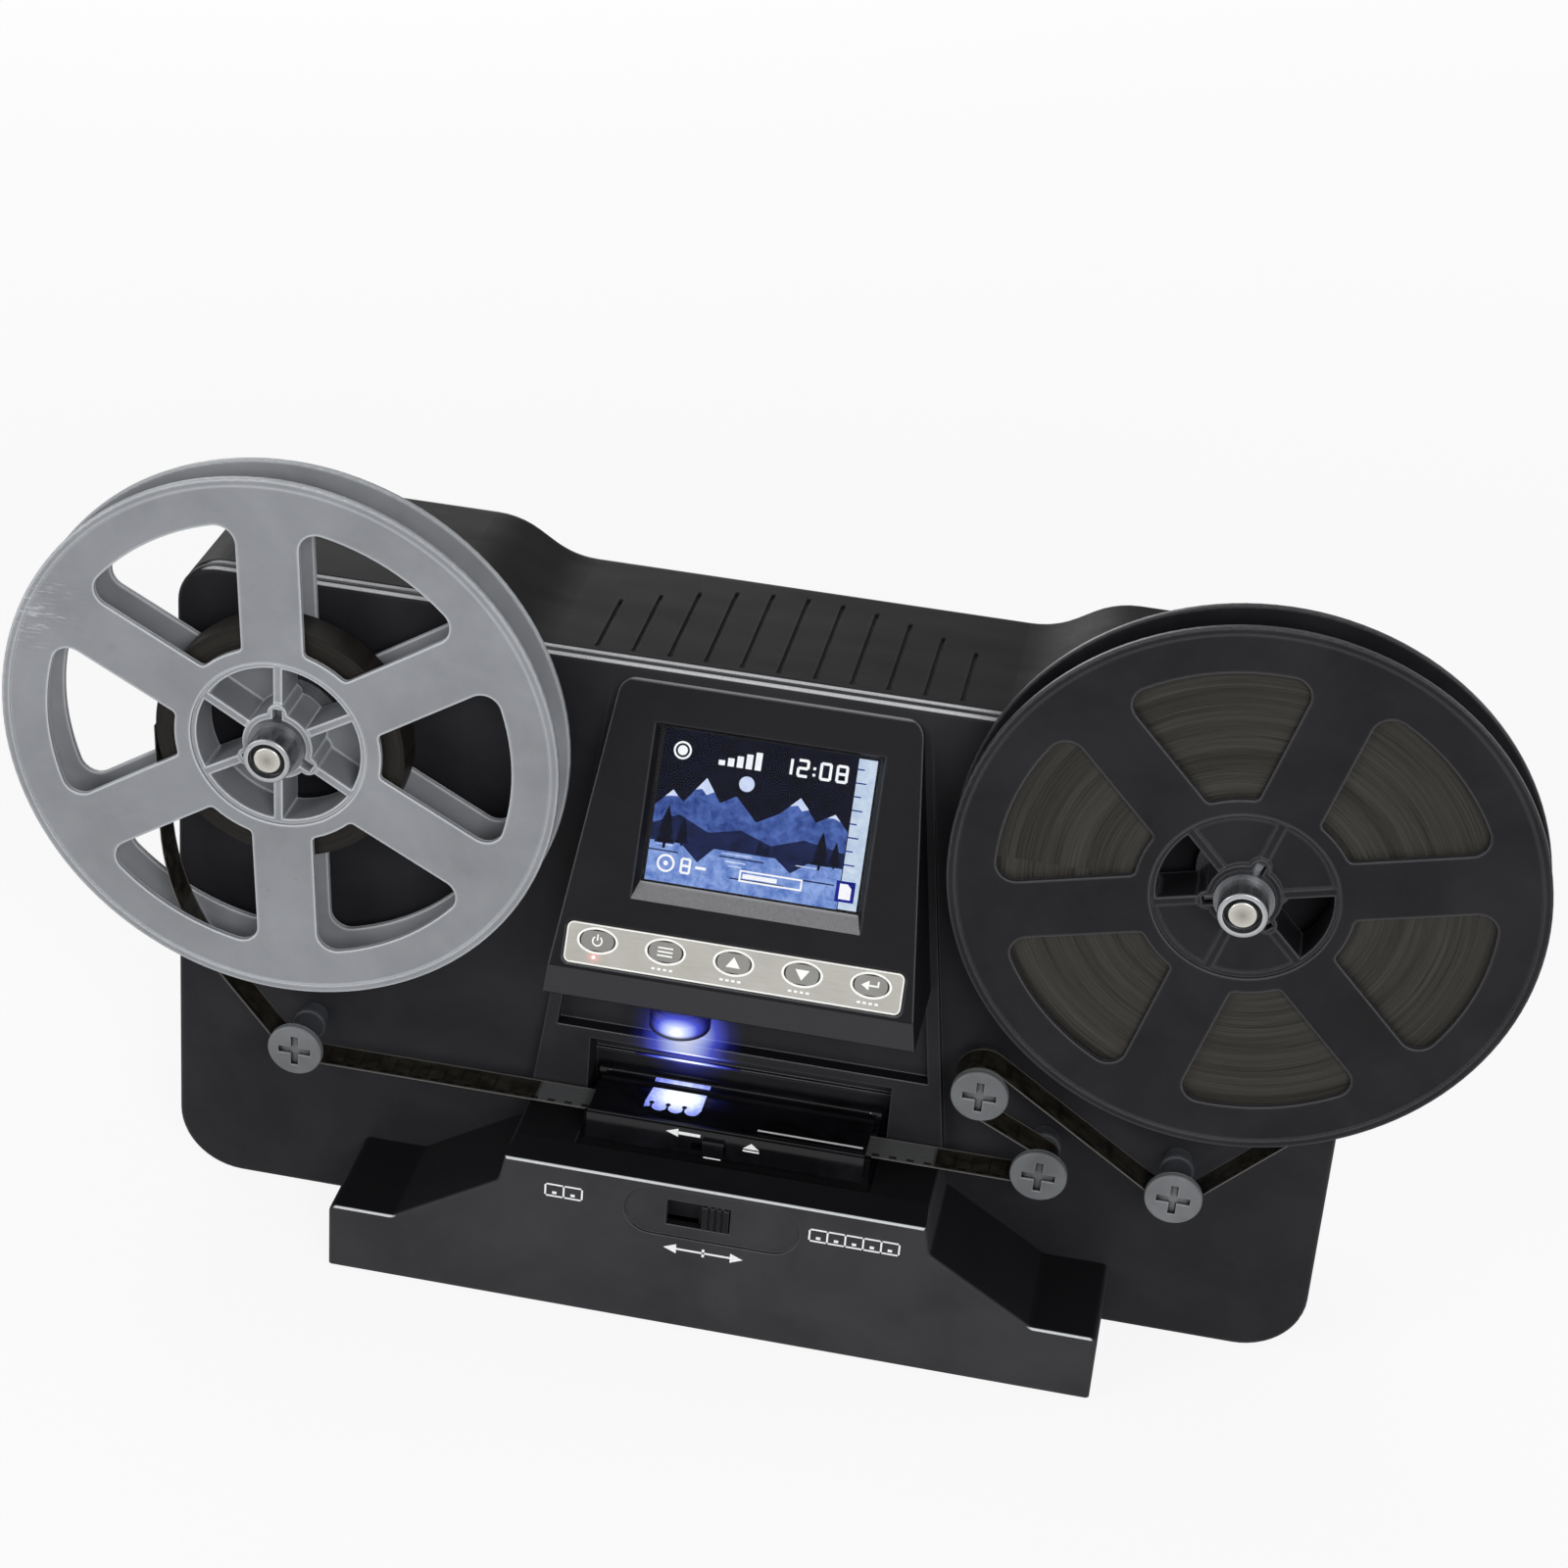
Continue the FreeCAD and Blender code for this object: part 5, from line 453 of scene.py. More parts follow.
def lens_plastic():
    """Black barrel whose lower end catches the blue-white light of the gate lamp."""
    material, tree, shader = new_material("lens plastic")
    grain = noise(tree, place(tree), 6.0, detail=3.0, rough=0.6)
    shade = tune(tree, grain, 0.0, 1.0)
    feed(tree, shader, "Base Color", mix(tree, shade, srgb(14, 14, 16), srgb(26, 26, 29)))
    feed(tree, shader, "Roughness", tune(tree, grain, 0.28, 0.42))
    feed(tree, shader, "Specular IOR Level", 0.2)
    light = blue_light(tree, at(-13.0, -17.0, 74.6), reach=8.5, stretch=(0.9, 0.6, 1.1))
    above_rim = spread(tree, millimetres(tree)[2], 0.08, 1.0, *LENS_RIM)
    emit(tree, shader, mix(tree, above_rim, BLACK, light), strength=1.1)
    bump(tree, shader, grain, strength=0.1, distance=0.00005)
    return material


def lamp_glow(name, colour, strength, falloff):
    """Milky plate lit from behind, slightly cloudy."""
    material, tree, shader = new_material(name)
    grain = noise(tree, place(tree), 0.6, detail=3.0)
    feed(tree, shader, "Base Color", srgb(225, 232, 240))
    feed(tree, shader, "Roughness", 0.5)
    emit(tree, shader, mix(tree, tune(tree, grain, 0.0, falloff), colour, srgb(150, 175, 255)), strength)
    bump(tree, shader, grain, strength=0.05, distance=0.0001)
    return material


def clear_window():
    """Clear plastic window with faint smears."""
    material, tree, shader = new_material("window")
    smear = noise(tree, place(tree), 0.09, detail=4.0, rough=0.6, distortion=0.5)
    feed(tree, shader, "Base Color", WHITE)
    feed(tree, shader, "Transmission Weight", 1.0)
    feed(tree, shader, "IOR", 1.2)
    feed(tree, shader, "Specular IOR Level", 0.15)
    feed(tree, shader, "Roughness", tune(tree, smear, 0.0, 0.02))
    return material


TIP_RAMP = 10.0  # the distance from the axis that the tip's colour ramp covers


def spindle_metal(name, x):
    """Turned grey metal with a bright screw head in the middle of the tip, and painted shade in the recess
    round it.
    """
    material, tree, shader = new_material(name)
    radius, _, rings = around_axis(tree, x, 0.4)
    turning = noise(tree, rings, 6.0, detail=4.0, rough=0.6)
    shade = rise(tree, turning, 0.3, 0.7)
    side = mix(tree, shade, srgb(92, 93, 96), srgb(132, 133, 136))
    # the tip's ramp: bright screw head, then a dark ring painted as the shade in the recess round it, then a
    # bright ring
    face = ramp(tree, arithmetic(tree, "DIVIDE", radius, TIP_RAMP),
                [(0.0, srgb(150, 148, 140)), (0.2, srgb(196, 193, 184)), (0.30, srgb(214, 212, 204)),
                 (0.312, srgb(20, 20, 20)), (0.41, srgb(30, 30, 31)), (0.425, srgb(196, 197, 200)),
                 (0.5, srgb(168, 169, 172)), (0.56, srgb(120, 121, 124))])
    face = mix(tree, times(tree, shade, 0.35), face, srgb(70, 70, 72))
    tip = facing(tree, (0, -1, 0), low=0.5, high=0.8)
    feed(tree, shader, "Base Color", mix(tree, tip, side, face))
    feed(tree, shader, "Metallic", 0.7)
    feed(tree, shader, "Roughness", tune(tree, turning, 0.2, 0.42))
    bump(tree, shader, turning, strength=0.15, distance=0.00005)
    return material


def brushed_strip():
    """Satin silver foil behind the keys: lengthwise brushing, with the power lamp's red light on it."""
    material, tree, shader = new_material("satin strip")
    feed(tree, shader, "Metallic", 0.1)
    lines = noise(tree, place(tree, stretch=(0.12, 6.0, 6.0)), 2.0, detail=5.0, rough=0.7)
    patch = noise(tree, place(tree), 0.08, detail=3.0, rough=0.5)
    base = mix(tree, rise(tree, lines, 0.3, 0.7), srgb(160, 158, 151), srgb(184, 182, 175))
    base = mix(tree, spread(tree, patch, 0.0, 0.4, 0.35, 0.65), base, srgb(150, 148, 140))
    feed(tree, shader, "Base Color", base)
    feed(tree, shader, "Roughness", tune(tree, lines, 0.3, 0.46))
    power_lamp = lamp_fade(tree, console(-30.8, 61.9), reach=2.6)
    emit(tree, shader, mix(tree, power_lamp, BLACK, srgb(255, 96, 60)), strength=0.5)
    bump(tree, shader, lines, strength=0.12, distance=0.00004)
    return material


FILM_FRONT = -14.1  # depth of the film's front edge
FILM_WIDTH = 8.0
FRAME_PITCH = 4.0
ALONG_START = 500.0  # keeps the length along the film above zero
LEADER_MIDDLE = 1.0
LEADER_HALF = 46.0, 47.0  # the clearer leader ends between these distances from its middle
LEADER_TOP = 49.0, 50.0  # and between these heights
PALE_EDGE = 3.45, 3.75  # the pale edge begins between these distances from the film's middle
FRAME_EDGE = 2.2, 2.7  # and the picture ends between these
HOLE_START, HOLE_END = (0.55, 0.62), (1.5, 1.57)  # the perforations, measured from the front edge


def film_base():
    """Film between the reels: dark frames, faint frame lines, pale edges, perforations and clearer leader."""
    material, tree, shader = new_material("film")
    x, y, z = millimetres(tree)
    across = plus(tree, y, -FILM_FRONT - SHIFT_Y)
    along = plus(tree, x, z)
    cycle = arithmetic(tree, "FRACT", arithmetic(tree, "DIVIDE", plus(tree, along, ALONG_START), FRAME_PITCH))
    cycle = apart(tree, cycle, 0.5)
    off_middle = apart(tree, across, FILM_WIDTH / 2)
    edge = rise(tree, off_middle, *PALE_EDGE)
    frame_zone = fall(tree, off_middle, *FRAME_EDGE)
    picture = noise(tree, place(tree, stretch=(0.6, 0.8, 0.6)), 0.5, detail=3.0, rough=0.5)
    dark = mix(tree, rise(tree, picture, 0.35, 0.7), srgb(24, 22, 18), srgb(46, 43, 36))
    frame_line = times(tree, step(tree, cycle, 0.42, 0.46), frame_zone)
    dark = mix(tree, times(tree, frame_line, 0.7), dark, srgb(10, 9, 8))
    near_gate = fall(tree, apart(tree, x, LEADER_MIDDLE), *LEADER_HALF)
    low = fall(tree, z, *LEADER_TOP)
    leader = times(tree, times(tree, near_gate, low), 0.8)
    base = mix(tree, leader, dark, srgb(92, 93, 94))
    hole = times(tree, step(tree, cycle, 0.2, 0.24, before=1.0, after=0.0),
                 times(tree, rise(tree, across, *HOLE_START), fall(tree, across, *HOLE_END)))
    base = mix(tree, times(tree, hole, 0.85), base, srgb(8, 8, 8))
    base = mix(tree, times(tree, edge, 0.75), base, srgb(112, 111, 106))
    feed(tree, shader, "Base Color", base)
    scratch = noise(tree, place(tree, stretch=(0.1, 5.0, 0.1)), 3.0, detail=4.0, rough=0.7)
    feed(tree, shader, "Roughness", tune(tree, scratch, 0.2, 0.38))
    feed(tree, shader, "Specular IOR Level", 0.35)
    bump(tree, shader, times(tree, hole, -1.0), strength=0.4, distance=0.0001)
    return material


# drawing helpers: shapes are lists of 2-D points in millimetres

def console(x, s, out=0.0):
    """A point on the console's tilted face: x across, s down the slope, out from it, in millimetres."""
    t = math.radians(CONSOLE_TILT)
    return at(x, -s * math.sin(t) - out * math.cos(t), CONSOLE_TOP - s * math.cos(t) + out * math.sin(t))


def upright(x, v, out=0.0):
    """The console's face with v counted upward from its top edge."""
    return console(x, -v, out)


def front(y):
    """Placer for flat pieces that face the front at a depth y."""
    return lambda x, z, out=0.0: at(x, y - out, z)


def plaque(shapes, where, thick, lift=0.0):
    """Vertices and faces of thin raised shapes, each a list of 2-D points, wound either way."""
    vertices, faces = [], []
    for shape in shapes:
        n = len(shape)
        pairs = zip(shape, shape[1:] + shape[:1])
        area = sum(x0 * y1 - x1 * y0 for (x0, y0), (x1, y1) in pairs)
        points = shape if area > 0 else shape[::-1]
        base = len(vertices)
        vertices += [where(u, v, lift) for u, v in points]
        vertices += [where(u, v, lift + thick) for u, v in points]
        faces.append([base + n + i for i in range(n)])
        for i in range(n):
            j = (i + 1) % n
            faces.append([base + i, base + j, base + n + j, base + n + i])
    return vertices, faces


def ring(cx, cy, rx, ry, width, start=0, stop=360, count=40):
    """An oval ring, or the part of it between two angles in degrees, as four-sided shapes."""
    def point(i, inset):
        angle = math.radians(start + (stop - start) * i / count)
        return cx + (rx - inset) * math.cos(angle), cy + (ry - inset) * math.sin(angle)

    return [[point(i, 0), point(i + 1, 0), point(i + 1, width), point(i, width)] for i in range(count)]


def bar(x0, x1, y0, y1):
    return [(x0, y0), (x1, y0), (x1, y1), (x0, y1)]


def disc(cx, cy, r, count=24):
    angles = [2 * math.pi * i / count for i in range(count)]
    return [(cx + r * math.cos(angle), cy + r * math.sin(angle)) for angle in angles]


def moved(shapes, dx, dy):
    return [[(x + dx, y + dy) for x, y in shape] for shape in shapes]


# finishes of the carried-over pieces

FINISH = {
    "housing": housing_plastic(),
    # the cover: painted shade on its tops and a painted highlight along its front edge
    "cover": moulded("cover plastic", srgb(24, 24, 26), srgb(33, 33, 36), roughness=(0.5, 0.6), worn_and_lit=0.3,
                     specular=0.05, painted_light_tones=(((0, 0.1, 1), 0.5, 0.9, (15, 15, 16), 0.1),
                                           ((0, -0.6, 0.8), 0.93, 0.98, (224, 224, 227), 0.5))),
    # the foot: painted shade on its tops and a painted highlight along the table's front edge
    "housing_dark": moulded("foot plastic", srgb(44, 44, 46), srgb(57, 57, 60), worn_and_lit=0.4,
                            edge=(150, 150, 152), painted_light_tones=(((0, 0.35, 1), 0.45, 0.85, (19, 19, 21), 0.1),
                                                         ((0, -1, 1), 0.93, 0.985, (226, 228, 230), 0.35))),
    # the console: a painted highlight on its top edge and the screen's lower bevel, and faces that look
    # forward and a little down painted lighter
    "console": moulded("console plastic", srgb(14, 14, 16), srgb(24, 24, 27), roughness=(0.36, 0.5), worn_and_lit=0.6,
                       edge=(150, 150, 154), painted_light_tones=(((0, -0.33, 0.94), 0.94, 0.985, (206, 206, 208), 0.6),
                                                    ((0, -1, -0.15), 0.97, 0.99, (58, 58, 60), 0.5))),
    "dark": moulded("inner plastic", srgb(16, 16, 18), srgb(27, 27, 30)),
    "gloss": polished("gate gloss", srgb(8, 8, 10), srgb(20, 20, 24)),
    "rubber": rubber("foot rubber"),
    "steel": metal("steel", srgb(146, 146, 148), srgb(104, 103, 102), roughness=(0.22, 0.38), turned=True),
    "zinc": metal("zinc plate", srgb(170, 172, 176), srgb(120, 122, 126), roughness=(0.32, 0.5)),
    "brass": metal("brass", srgb(205, 168, 96), srgb(150, 116, 62), roughness=(0.22, 0.4), turned=True),
    "board": board("board", srgb(14, 64, 34), srgb(26, 96, 52)),
    "window": clear_window(),
    "diffuser": lamp_glow("diffuser", srgb(226, 236, 255), strength=9.0, falloff=0.35),
    "jack": moulded("socket plastic", srgb(16, 16, 17), srgb(30, 30, 32)),
    "grey_reel": reel_plastic("grey reel", srgb(122, 124, 128), srgb(138, 140, 144), -REEL_X,
                              roughness=(0.34, 0.5), scuffed=True),
    "black_reel": reel_plastic("black reel", srgb(22, 22, 24), srgb(34, 34, 37), REEL_X,
                               roughness=(0.3, 0.44), scuffed=False),
    "supply_film": wound_film("wound film left", -REEL_X, srgb(12, 11, 10), srgb(38, 35, 31)),
    "takeup_film": wound_film("wound film right", REEL_X, srgb(25, 24, 22), srgb(66, 64, 59)),
    "roller": roller_plastic(),
    "sleeve": moulded("sleeve plastic", srgb(54, 56, 60), srgb(72, 74, 78), roughness=(0.34, 0.48)),
    "card": moulded("card plastic", srgb(26, 38, 84), srgb(52, 66, 118)),
    "belt": rubber("belt rubber"),
    "strip": brushed_strip(),
    "spindle_left": spindle_metal("left spindle metal", -REEL_X),
    "spindle_right": spindle_metal("right spindle metal", REEL_X),
    "film": film_base(),
    "lens": lens_plastic(),
    "key": moulded("key plastic", srgb(128, 127, 123), srgb(146, 145, 141), edge=(186, 185, 180)),
}

NODE_FINISH = {
    "front_housing": "housing", "rear_cover": "cover", "base_shell": "housing_dark", "base_plate": "dark",
    "console_bezel": "console", "rubber_feet": "rubber", "select_knob": "dark", "select_switch": "dark",
    "screen_window": "window", "lcd_module": "dark", "button_strip": "strip", "button_board": "board",
    "gate_bed": "gloss", "gate_door": "gloss", "gate_latch": "gloss", "hinge_pin": "steel",
    "light_diffuser": "diffuser", "led_board": "board", "lens_barrel": "lens", "camera_board": "board",
    "advance_motor": "zinc", "advance_cam": "brass", "film_claw": "steel", "housing_screws": "steel",
    "supply_front_flange": "grey_reel", "supply_rear_flange": "grey_reel", "supply_hub": "grey_reel",
    "takeup_front_flange": "black_reel", "takeup_rear_flange": "black_reel", "takeup_hub": "black_reel",
    "supply_film": "supply_film", "takeup_film": "takeup_film", "supply_spindle": "spindle_left",
    "takeup_spindle": "spindle_right", "supply_bushing": "brass", "takeup_bushing": "brass",
    "drag_washer": "rubber", "drag_spring": "steel", "takeup_pulley": "dark", "motor_pulley": "brass",
    "takeup_motor": "zinc", "motor_bracket": "zinc", "drive_belt": "belt", "roller_axles": "roller",
    "film_strip": "film", "main_board": "board", "socket_board": "board", "dc_jack": "jack",
    "usb_port": "zinc", "sd_slot": "zinc", "sd_card": "card",
}
for key in ("power", "menu", "up", "down", "enter"):
    NODE_FINISH["button_" + key] = "key"
for key in ("left", "inner", "high", "outer"):
    NODE_FINISH["roller_" + key] = "sleeve"

for node_name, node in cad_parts.items():
    node.data.materials.clear()
    node.data.materials.append(FINISH[NODE_FINISH[node_name]])


# printed marks, the screen's picture, the gate's light and a painted highlight on the latch

def ink(name, colour, thin):
    """Screen-printed ink with a fine tooth, in another tone where its cover is thin."""
    material, tree, shader = new_material(name)
    cover = noise(tree, place(tree), 1.8, detail=4.0, rough=0.6)
    feed(tree, shader, "Base Color", mix(tree, spread(tree, cover, 0.0, 0.4, 0.5, 0.8), colour, srgb(*thin)))
    feed(tree, shader, "Roughness", tune(tree, cover, 0.45, 0.6))
    bump(tree, shader, cover, strength=0.15, distance=0.00003)
    return material


def screen_light(name, colour, light, strength=1.0):
    """A backlit colour on the screen: slow unevenness under fine pixel rows."""
    material, tree, shader = new_material(name)
    v = place(tree)
    cloud = noise(tree, v, 0.45, detail=5.0, rough=0.65)
    rows = tree.nodes.new("ShaderNodeTexWave")
    rows.bands_direction = "Z"
    feed(tree, rows, "Scale", 1.0)
    feed(tree, rows, "Vector", v)
    lit = mix(tree, rise(tree, cloud, 0.35, 0.65), colour, light)
    lit = mix(tree, times(tree, rows.outputs["Fac"], 0.16), lit, BLACK)
    emit(tree, shader, lit, strength)
    feed(tree, shader, "Base Color", srgb(6, 6, 8))
    feed(tree, shader, "Specular IOR Level", 0.0)
    feed(tree, shader, "Roughness", spread(tree, cloud, 0.2, 0.3))
    return material


INK = 0.03  # thickness of printed ink


def mark(name, shapes, where, material, body="chassis", thick=INK, lift=0.0):
    """A piece of thin raised shapes that rides on a body."""
    vertices, faces = plaque(shapes, where, thick, lift)
    mesh = bpy.data.meshes.new(name)
    mesh.from_pydata([tuple(v) for v in vertices], [], faces)
    mesh.update()
    obj = bpy.data.objects.new(name, mesh)
    bpy.context.scene.collection.objects.link(obj)
    mesh.materials.append(material)
    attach(obj, body)


SEGMENTS = {"0": "abcdef", "1": "bc", "2": "abged", "8": "abcdefg"}


def digit(figure, x, v, w, h, t):
    """A seven-segment figure w wide and h high with strokes of t, its lower left corner at (x, v)."""
    half = h / 2
    places = {
        "a": bar(x + t / 2, x + w - t / 2, v + h - t, v + h), "d": bar(x + t / 2, x + w - t / 2, v, v + t),
        "g": bar(x + t / 2, x + w - t / 2, v + half - t / 2, v + half + t / 2),
        "b": bar(x + w - t, x + w, v + half, v + h - t / 2), "c": bar(x + w - t, x + w, v + t / 2, v + half),
        "f": bar(x, x + t, v + half, v + h - t / 2), "e": bar(x, x + t, v + t / 2, v + half),
    }
    return [places[segment] for segment in SEGMENTS[figure]]


def pine(x, v, h):
    """Three tiers of branches on a trunk that stands at (x, v)."""
    w = h * 0.24
    tiers = ((1.0, 0.12, 0.52), (0.8, 0.34, 0.76), (0.56, 0.58, 1.0))
    branches = [[(x - w * k, v + h * low), (x + w * k, v + h * low), (x, v + h * high)]
                for k, low, high in tiers]
    return branches + [bar(x - w * 0.14, x + w * 0.14, v, v + h * 0.14)]


NAVY = screen_light("screen night", srgb(6, 7, 16), srgb(14, 17, 38))
MID = screen_light("screen far range", srgb(40, 62, 128), srgb(84, 112, 186))
DEEP = screen_light("screen near hills", srgb(14, 20, 50), srgb(30, 42, 88))
PALE = screen_light("screen lake", srgb(88, 120, 196), srgb(148, 176, 234))
BRIGHT = screen_light("screen snow", srgb(196, 212, 250), srgb(222, 232, 255))
SYMBOL = screen_light("screen symbols", srgb(240, 244, 255), WHITE, strength=1.05)
BAR = screen_light("screen level", srgb(186, 206, 232), srgb(214, 228, 244))
BLUE = screen_light("screen card", srgb(14, 20, 120), srgb(26, 36, 158))

SCREEN_FACE = -3.19  # the screen's face, measured out from the console's
LAYER = 0.02  # thickness of each layer of the picture

LAYERS = [
    ("night", [bar(-22.6, 24.7, -43.6, -9.9)], NAVY),
    ("range", [[(-22.6, -27), (-19, -23.2), (-16.5, -25.6), (-12, -19.6), (-8.5, -24.6), (-5, -22.6),
                (0, -27.6), (5, -24.8), (9, -20.8), (13, -25.6), (17, -23.2), (20.2, -26.6), (20.2, -34),
                (-22.6, -34)]], MID),
    ("snow", [[(-12, -19.6), (-14.2, -22.5), (-12.8, -22.1), (-11.6, -23.3), (-10.0, -22.4)],
              [(9, -20.8), (6.9, -22.9), (8.6, -22.5), (9.6, -23.6), (11.1, -23.1)],
              [(-19, -23.2), (-20.6, -24.9), (-19.2, -24.6), (-17.8, -24.5)],
              [(17, -23.2), (15.4, -24.2), (16.9, -24.1), (18.3, -24.6)], disc(-3.2, -19.6, 1.7)], BRIGHT),
    ("hills", [[(-22.6, -31), (-17, -28.4), (-10, -31.4), (-3, -29.8), (4, -32.2), (11, -29.8), (20.2, -31.4),
                (20.2, -36), (-22.6, -36)]], DEEP),
    ("lake", [bar(-22.6, 20.2, -43.6, -34.4)], PALE),
    ("shade", [[(-16, -34.4), (-8, -34.4), (-11.6, -38.2)], [(5, -34.4), (13, -34.4), (9, -37.4)],
               bar(-22.6, 20.2, -34.7, -34.3), bar(-7, 3, -36.2, -35.9), bar(-4, 8, -40.6, -40.3),
               bar(8, 19, -38.6, -38.3), bar(-22.6, -16, -36.9, -36.6)], DEEP),
    ("glint", [bar(-5.4, -1.0, -37.1, -36.8), bar(-4.8, -1.8, -38.0, -37.8), bar(-6.5, 0.2, -35.4, -35.2),
               bar(10, 15.5, -35.6, -35.4), bar(-21, -17.5, -35.5, -35.3)], BRIGHT),
    ("pines", pine(-19.4, -36.2, 9.6) + pine(-15.6, -35.2, 6.6) + pine(15.0, -35.8, 8.6)
     + pine(18.2, -35.0, 6.0) + pine(1.6, -34.6, 3.6) + pine(3.4, -34.6, 2.8), NAVY),
    ("level", [bar(20.4, 24.5, -43.4, -10.3)], BAR),
    ("ticks", [bar(20.4, 21.9 + 0.8 * (i % 2), -12.8 - 3.0 * i, -12.5 - 3.0 * i) for i in range(8)]
     + [bar(19.4, 23.6, -41.8, -37.2)], BLUE),
]
for index, (label, shapes, material) in enumerate(LAYERS):
    mark("screen_" + label, shapes, upright, material, thick=LAYER, lift=SCREEN_FACE + LAYER * index)

# recording dot, rising level bars and a clock
symbols = ring(-18.2, -14.4, 2.0, 2.0, 0.45) + [disc(-18.2, -14.4, 1.1)]
symbols += [bar(-10.0 + 2.0 * i, -8.6 + 2.0 * i, -16.3, -15.2 + 0.7 * i) for i in range(5)]
for figure, x in (("1", 3.6), ("2", 7.2), ("0", 12.2), ("8", 15.8)):
    symbols += digit(figure, x, -16.3, 2.7, 4.0, 0.62)
symbols += [bar(10.75, 11.35, -14.3, -13.7), bar(10.75, 11.35, -15.7, -15.1)]
# reel with its format, outlined progress bar and card
symbols += ring(-18.4, -39.4, 2.0, 2.0, 0.5) + [disc(-18.4, -39.4, 0.55)]
symbols += digit("8", -15.2, -41.2, 2.4, 3.6, 0.55) + [bar(-11.8, -9.4, -39.7, -39.1)]
symbols += [bar(-2, 12, -38.7, -38.3), bar(-2, 12, -40.9, -40.5), bar(-2, -1.6, -40.9, -38.3),
            bar(11.6, 12, -40.9, -38.3), bar(-1.2, 6.4, -40.1, -39.1)]
symbols += [[(20.2, -41.2), (22.8, -41.2), (22.8, -38.7), (21.9, -37.8), (20.2, -37.8)]]
mark("screen_symbols", symbols, upright, SYMBOL, thick=LAYER, lift=SCREEN_FACE + LAYER * len(LAYERS))

WHITE_INK = ink("white ink", srgb(238, 238, 238), thin=(190, 190, 192))
PALE_INK = ink("pale key ink", srgb(244, 244, 240), thin=(216, 216, 210))
KEY_PITCH = 15.2
KEY_V = -58.4  # the keys' middles on the console's face
KEY_FACE = 0.35  # how far the keys stand out
KEY_MARKS = {
    "power": ring(0, 0, 1.2, 1.2, 0.34, 125, 415, 20) + [bar(-0.17, 0.17, 0.1, 1.5)],
    "menu": [bar(-1.7, 1.7, v - 0.17, v + 0.17) for v in (-0.85, 0.0, 0.85)],
    "up": [[(-1.6, -1.0), (1.6, -1.0), (0, 1.35)]],
    "down": [[(-1.6, 1.0), (0, -1.35), (1.6, 1.0)]],
    "enter": [[(-2.1, 0), (-0.4, -1.1), (-0.4, 1.1)], bar(-0.5, 1.8, -0.2, 0.2), bar(1.4, 1.8, 0.1, 1.1)],
}
for index, (key, shapes) in enumerate(KEY_MARKS.items()):
    x = KEY_PITCH * (index - 2)
    mark("symbol_" + key, moved(shapes, x, KEY_V), upright, PALE_INK, "key_" + key, lift=KEY_FACE)
    mark("oval_" + key, ring(x, KEY_V, 4.6, 2.95, 0.48), upright, PALE_INK, thick=0.05)
    if key != "power":
        dots = [bar(-2.6 + 1.3 * i, -1.8 + 1.3 * i, -62.6, -62.1) for i in range(4)]
        mark("legend_" + key, moved(dots, x, 0), upright, PALE_INK)

STRIP_X, STRIP_TOP, STRIP_FOOT = 36.0, -56.3, -62.5  # middles of the rim's rounded corners
STRIP_ROUND = 1.4
STRIP_RIM = [bar(-STRIP_X, STRIP_X, -55.15, -54.9), bar(-STRIP_X, STRIP_X, -63.9, -63.6),
             bar(-37.4, -37.15, STRIP_FOOT, STRIP_TOP), bar(37.15, 37.4, STRIP_FOOT, STRIP_TOP)]
for cx, cy, start in ((-STRIP_X, STRIP_TOP, 90), (STRIP_X, STRIP_TOP, 0), (-STRIP_X, STRIP_FOOT, 180),
                      (STRIP_X, STRIP_FOOT, 270)):
    STRIP_RIM += ring(cx, cy, STRIP_ROUND, STRIP_ROUND, 0.25, start, start + 90, 6)
mark("strip_rim", STRIP_RIM, upright, PALE_INK, thick=0.04)
mark("power_lamp", [disc(-30.8, -62.1, 0.42)], upright,
     lamp_glow("power lamp", srgb(255, 70, 34), strength=1.6, falloff=0.1), thick=0.12)

PAD = front(-28.4)  # face of the switch pad on the foot


def film_icon(x0, x1, z0, z1, frames):
    """A short length of film as an icon: outline, frames and edge holes."""
    line = 0.4
    shapes = [bar(x0, x1, z0, z0 + line), bar(x0, x1, z1 - line, z1)]
    pitch = (x1 - x0 - line) / frames
    for i in range(frames + 1):
        shapes.append(bar(x0 + pitch * i, x0 + pitch * i + line, z0, z1))
    for i in range(frames):
        middle = x0 + line / 2 + pitch * (i + 0.5)
        shapes.append(bar(middle - 0.5, middle + 0.5, z0 + 0.8, z0 + 1.5))
    return shapes


mark("icon_narrow", film_icon(-39, -30, 32.2, 35.8, 2), PAD, WHITE_INK)
mark("icon_wide", film_icon(22.5, 43.5, 32.2, 35.8, 5), PAD, WHITE_INK)
mark("icon_slide", [[(-10.6, 23.5), (-7.6, 22.2), (-7.6, 24.8)], [(8.0, 23.5), (5.0, 22.2), (5.0, 24.8)],
                    bar(-7.6, 5.0, 23.25, 23.75), bar(-1.6, -1.0, 22.4, 24.6)], PAD, WHITE_INK)

DOOR_TOP = 50.45  # height of the gate door's lid
SKIRT = front(-18.3)  # face of its skirt
LATCH_FACE = front(-19.2)
PERFORATION = 3.85  # spacing of the lit frame's scallops
LOBE_X, LOBE_Y = -16.75, -11.6  # middle of the first one
LOBE_WIDE, LOBE_DEEP = 1.75, 1.7
NOTCH_X = -18.68


def lid(x, y, out=0.0):
    """A point on the lid, y from the panel's front face."""
    return at(x, y, DOOR_TOP + out)


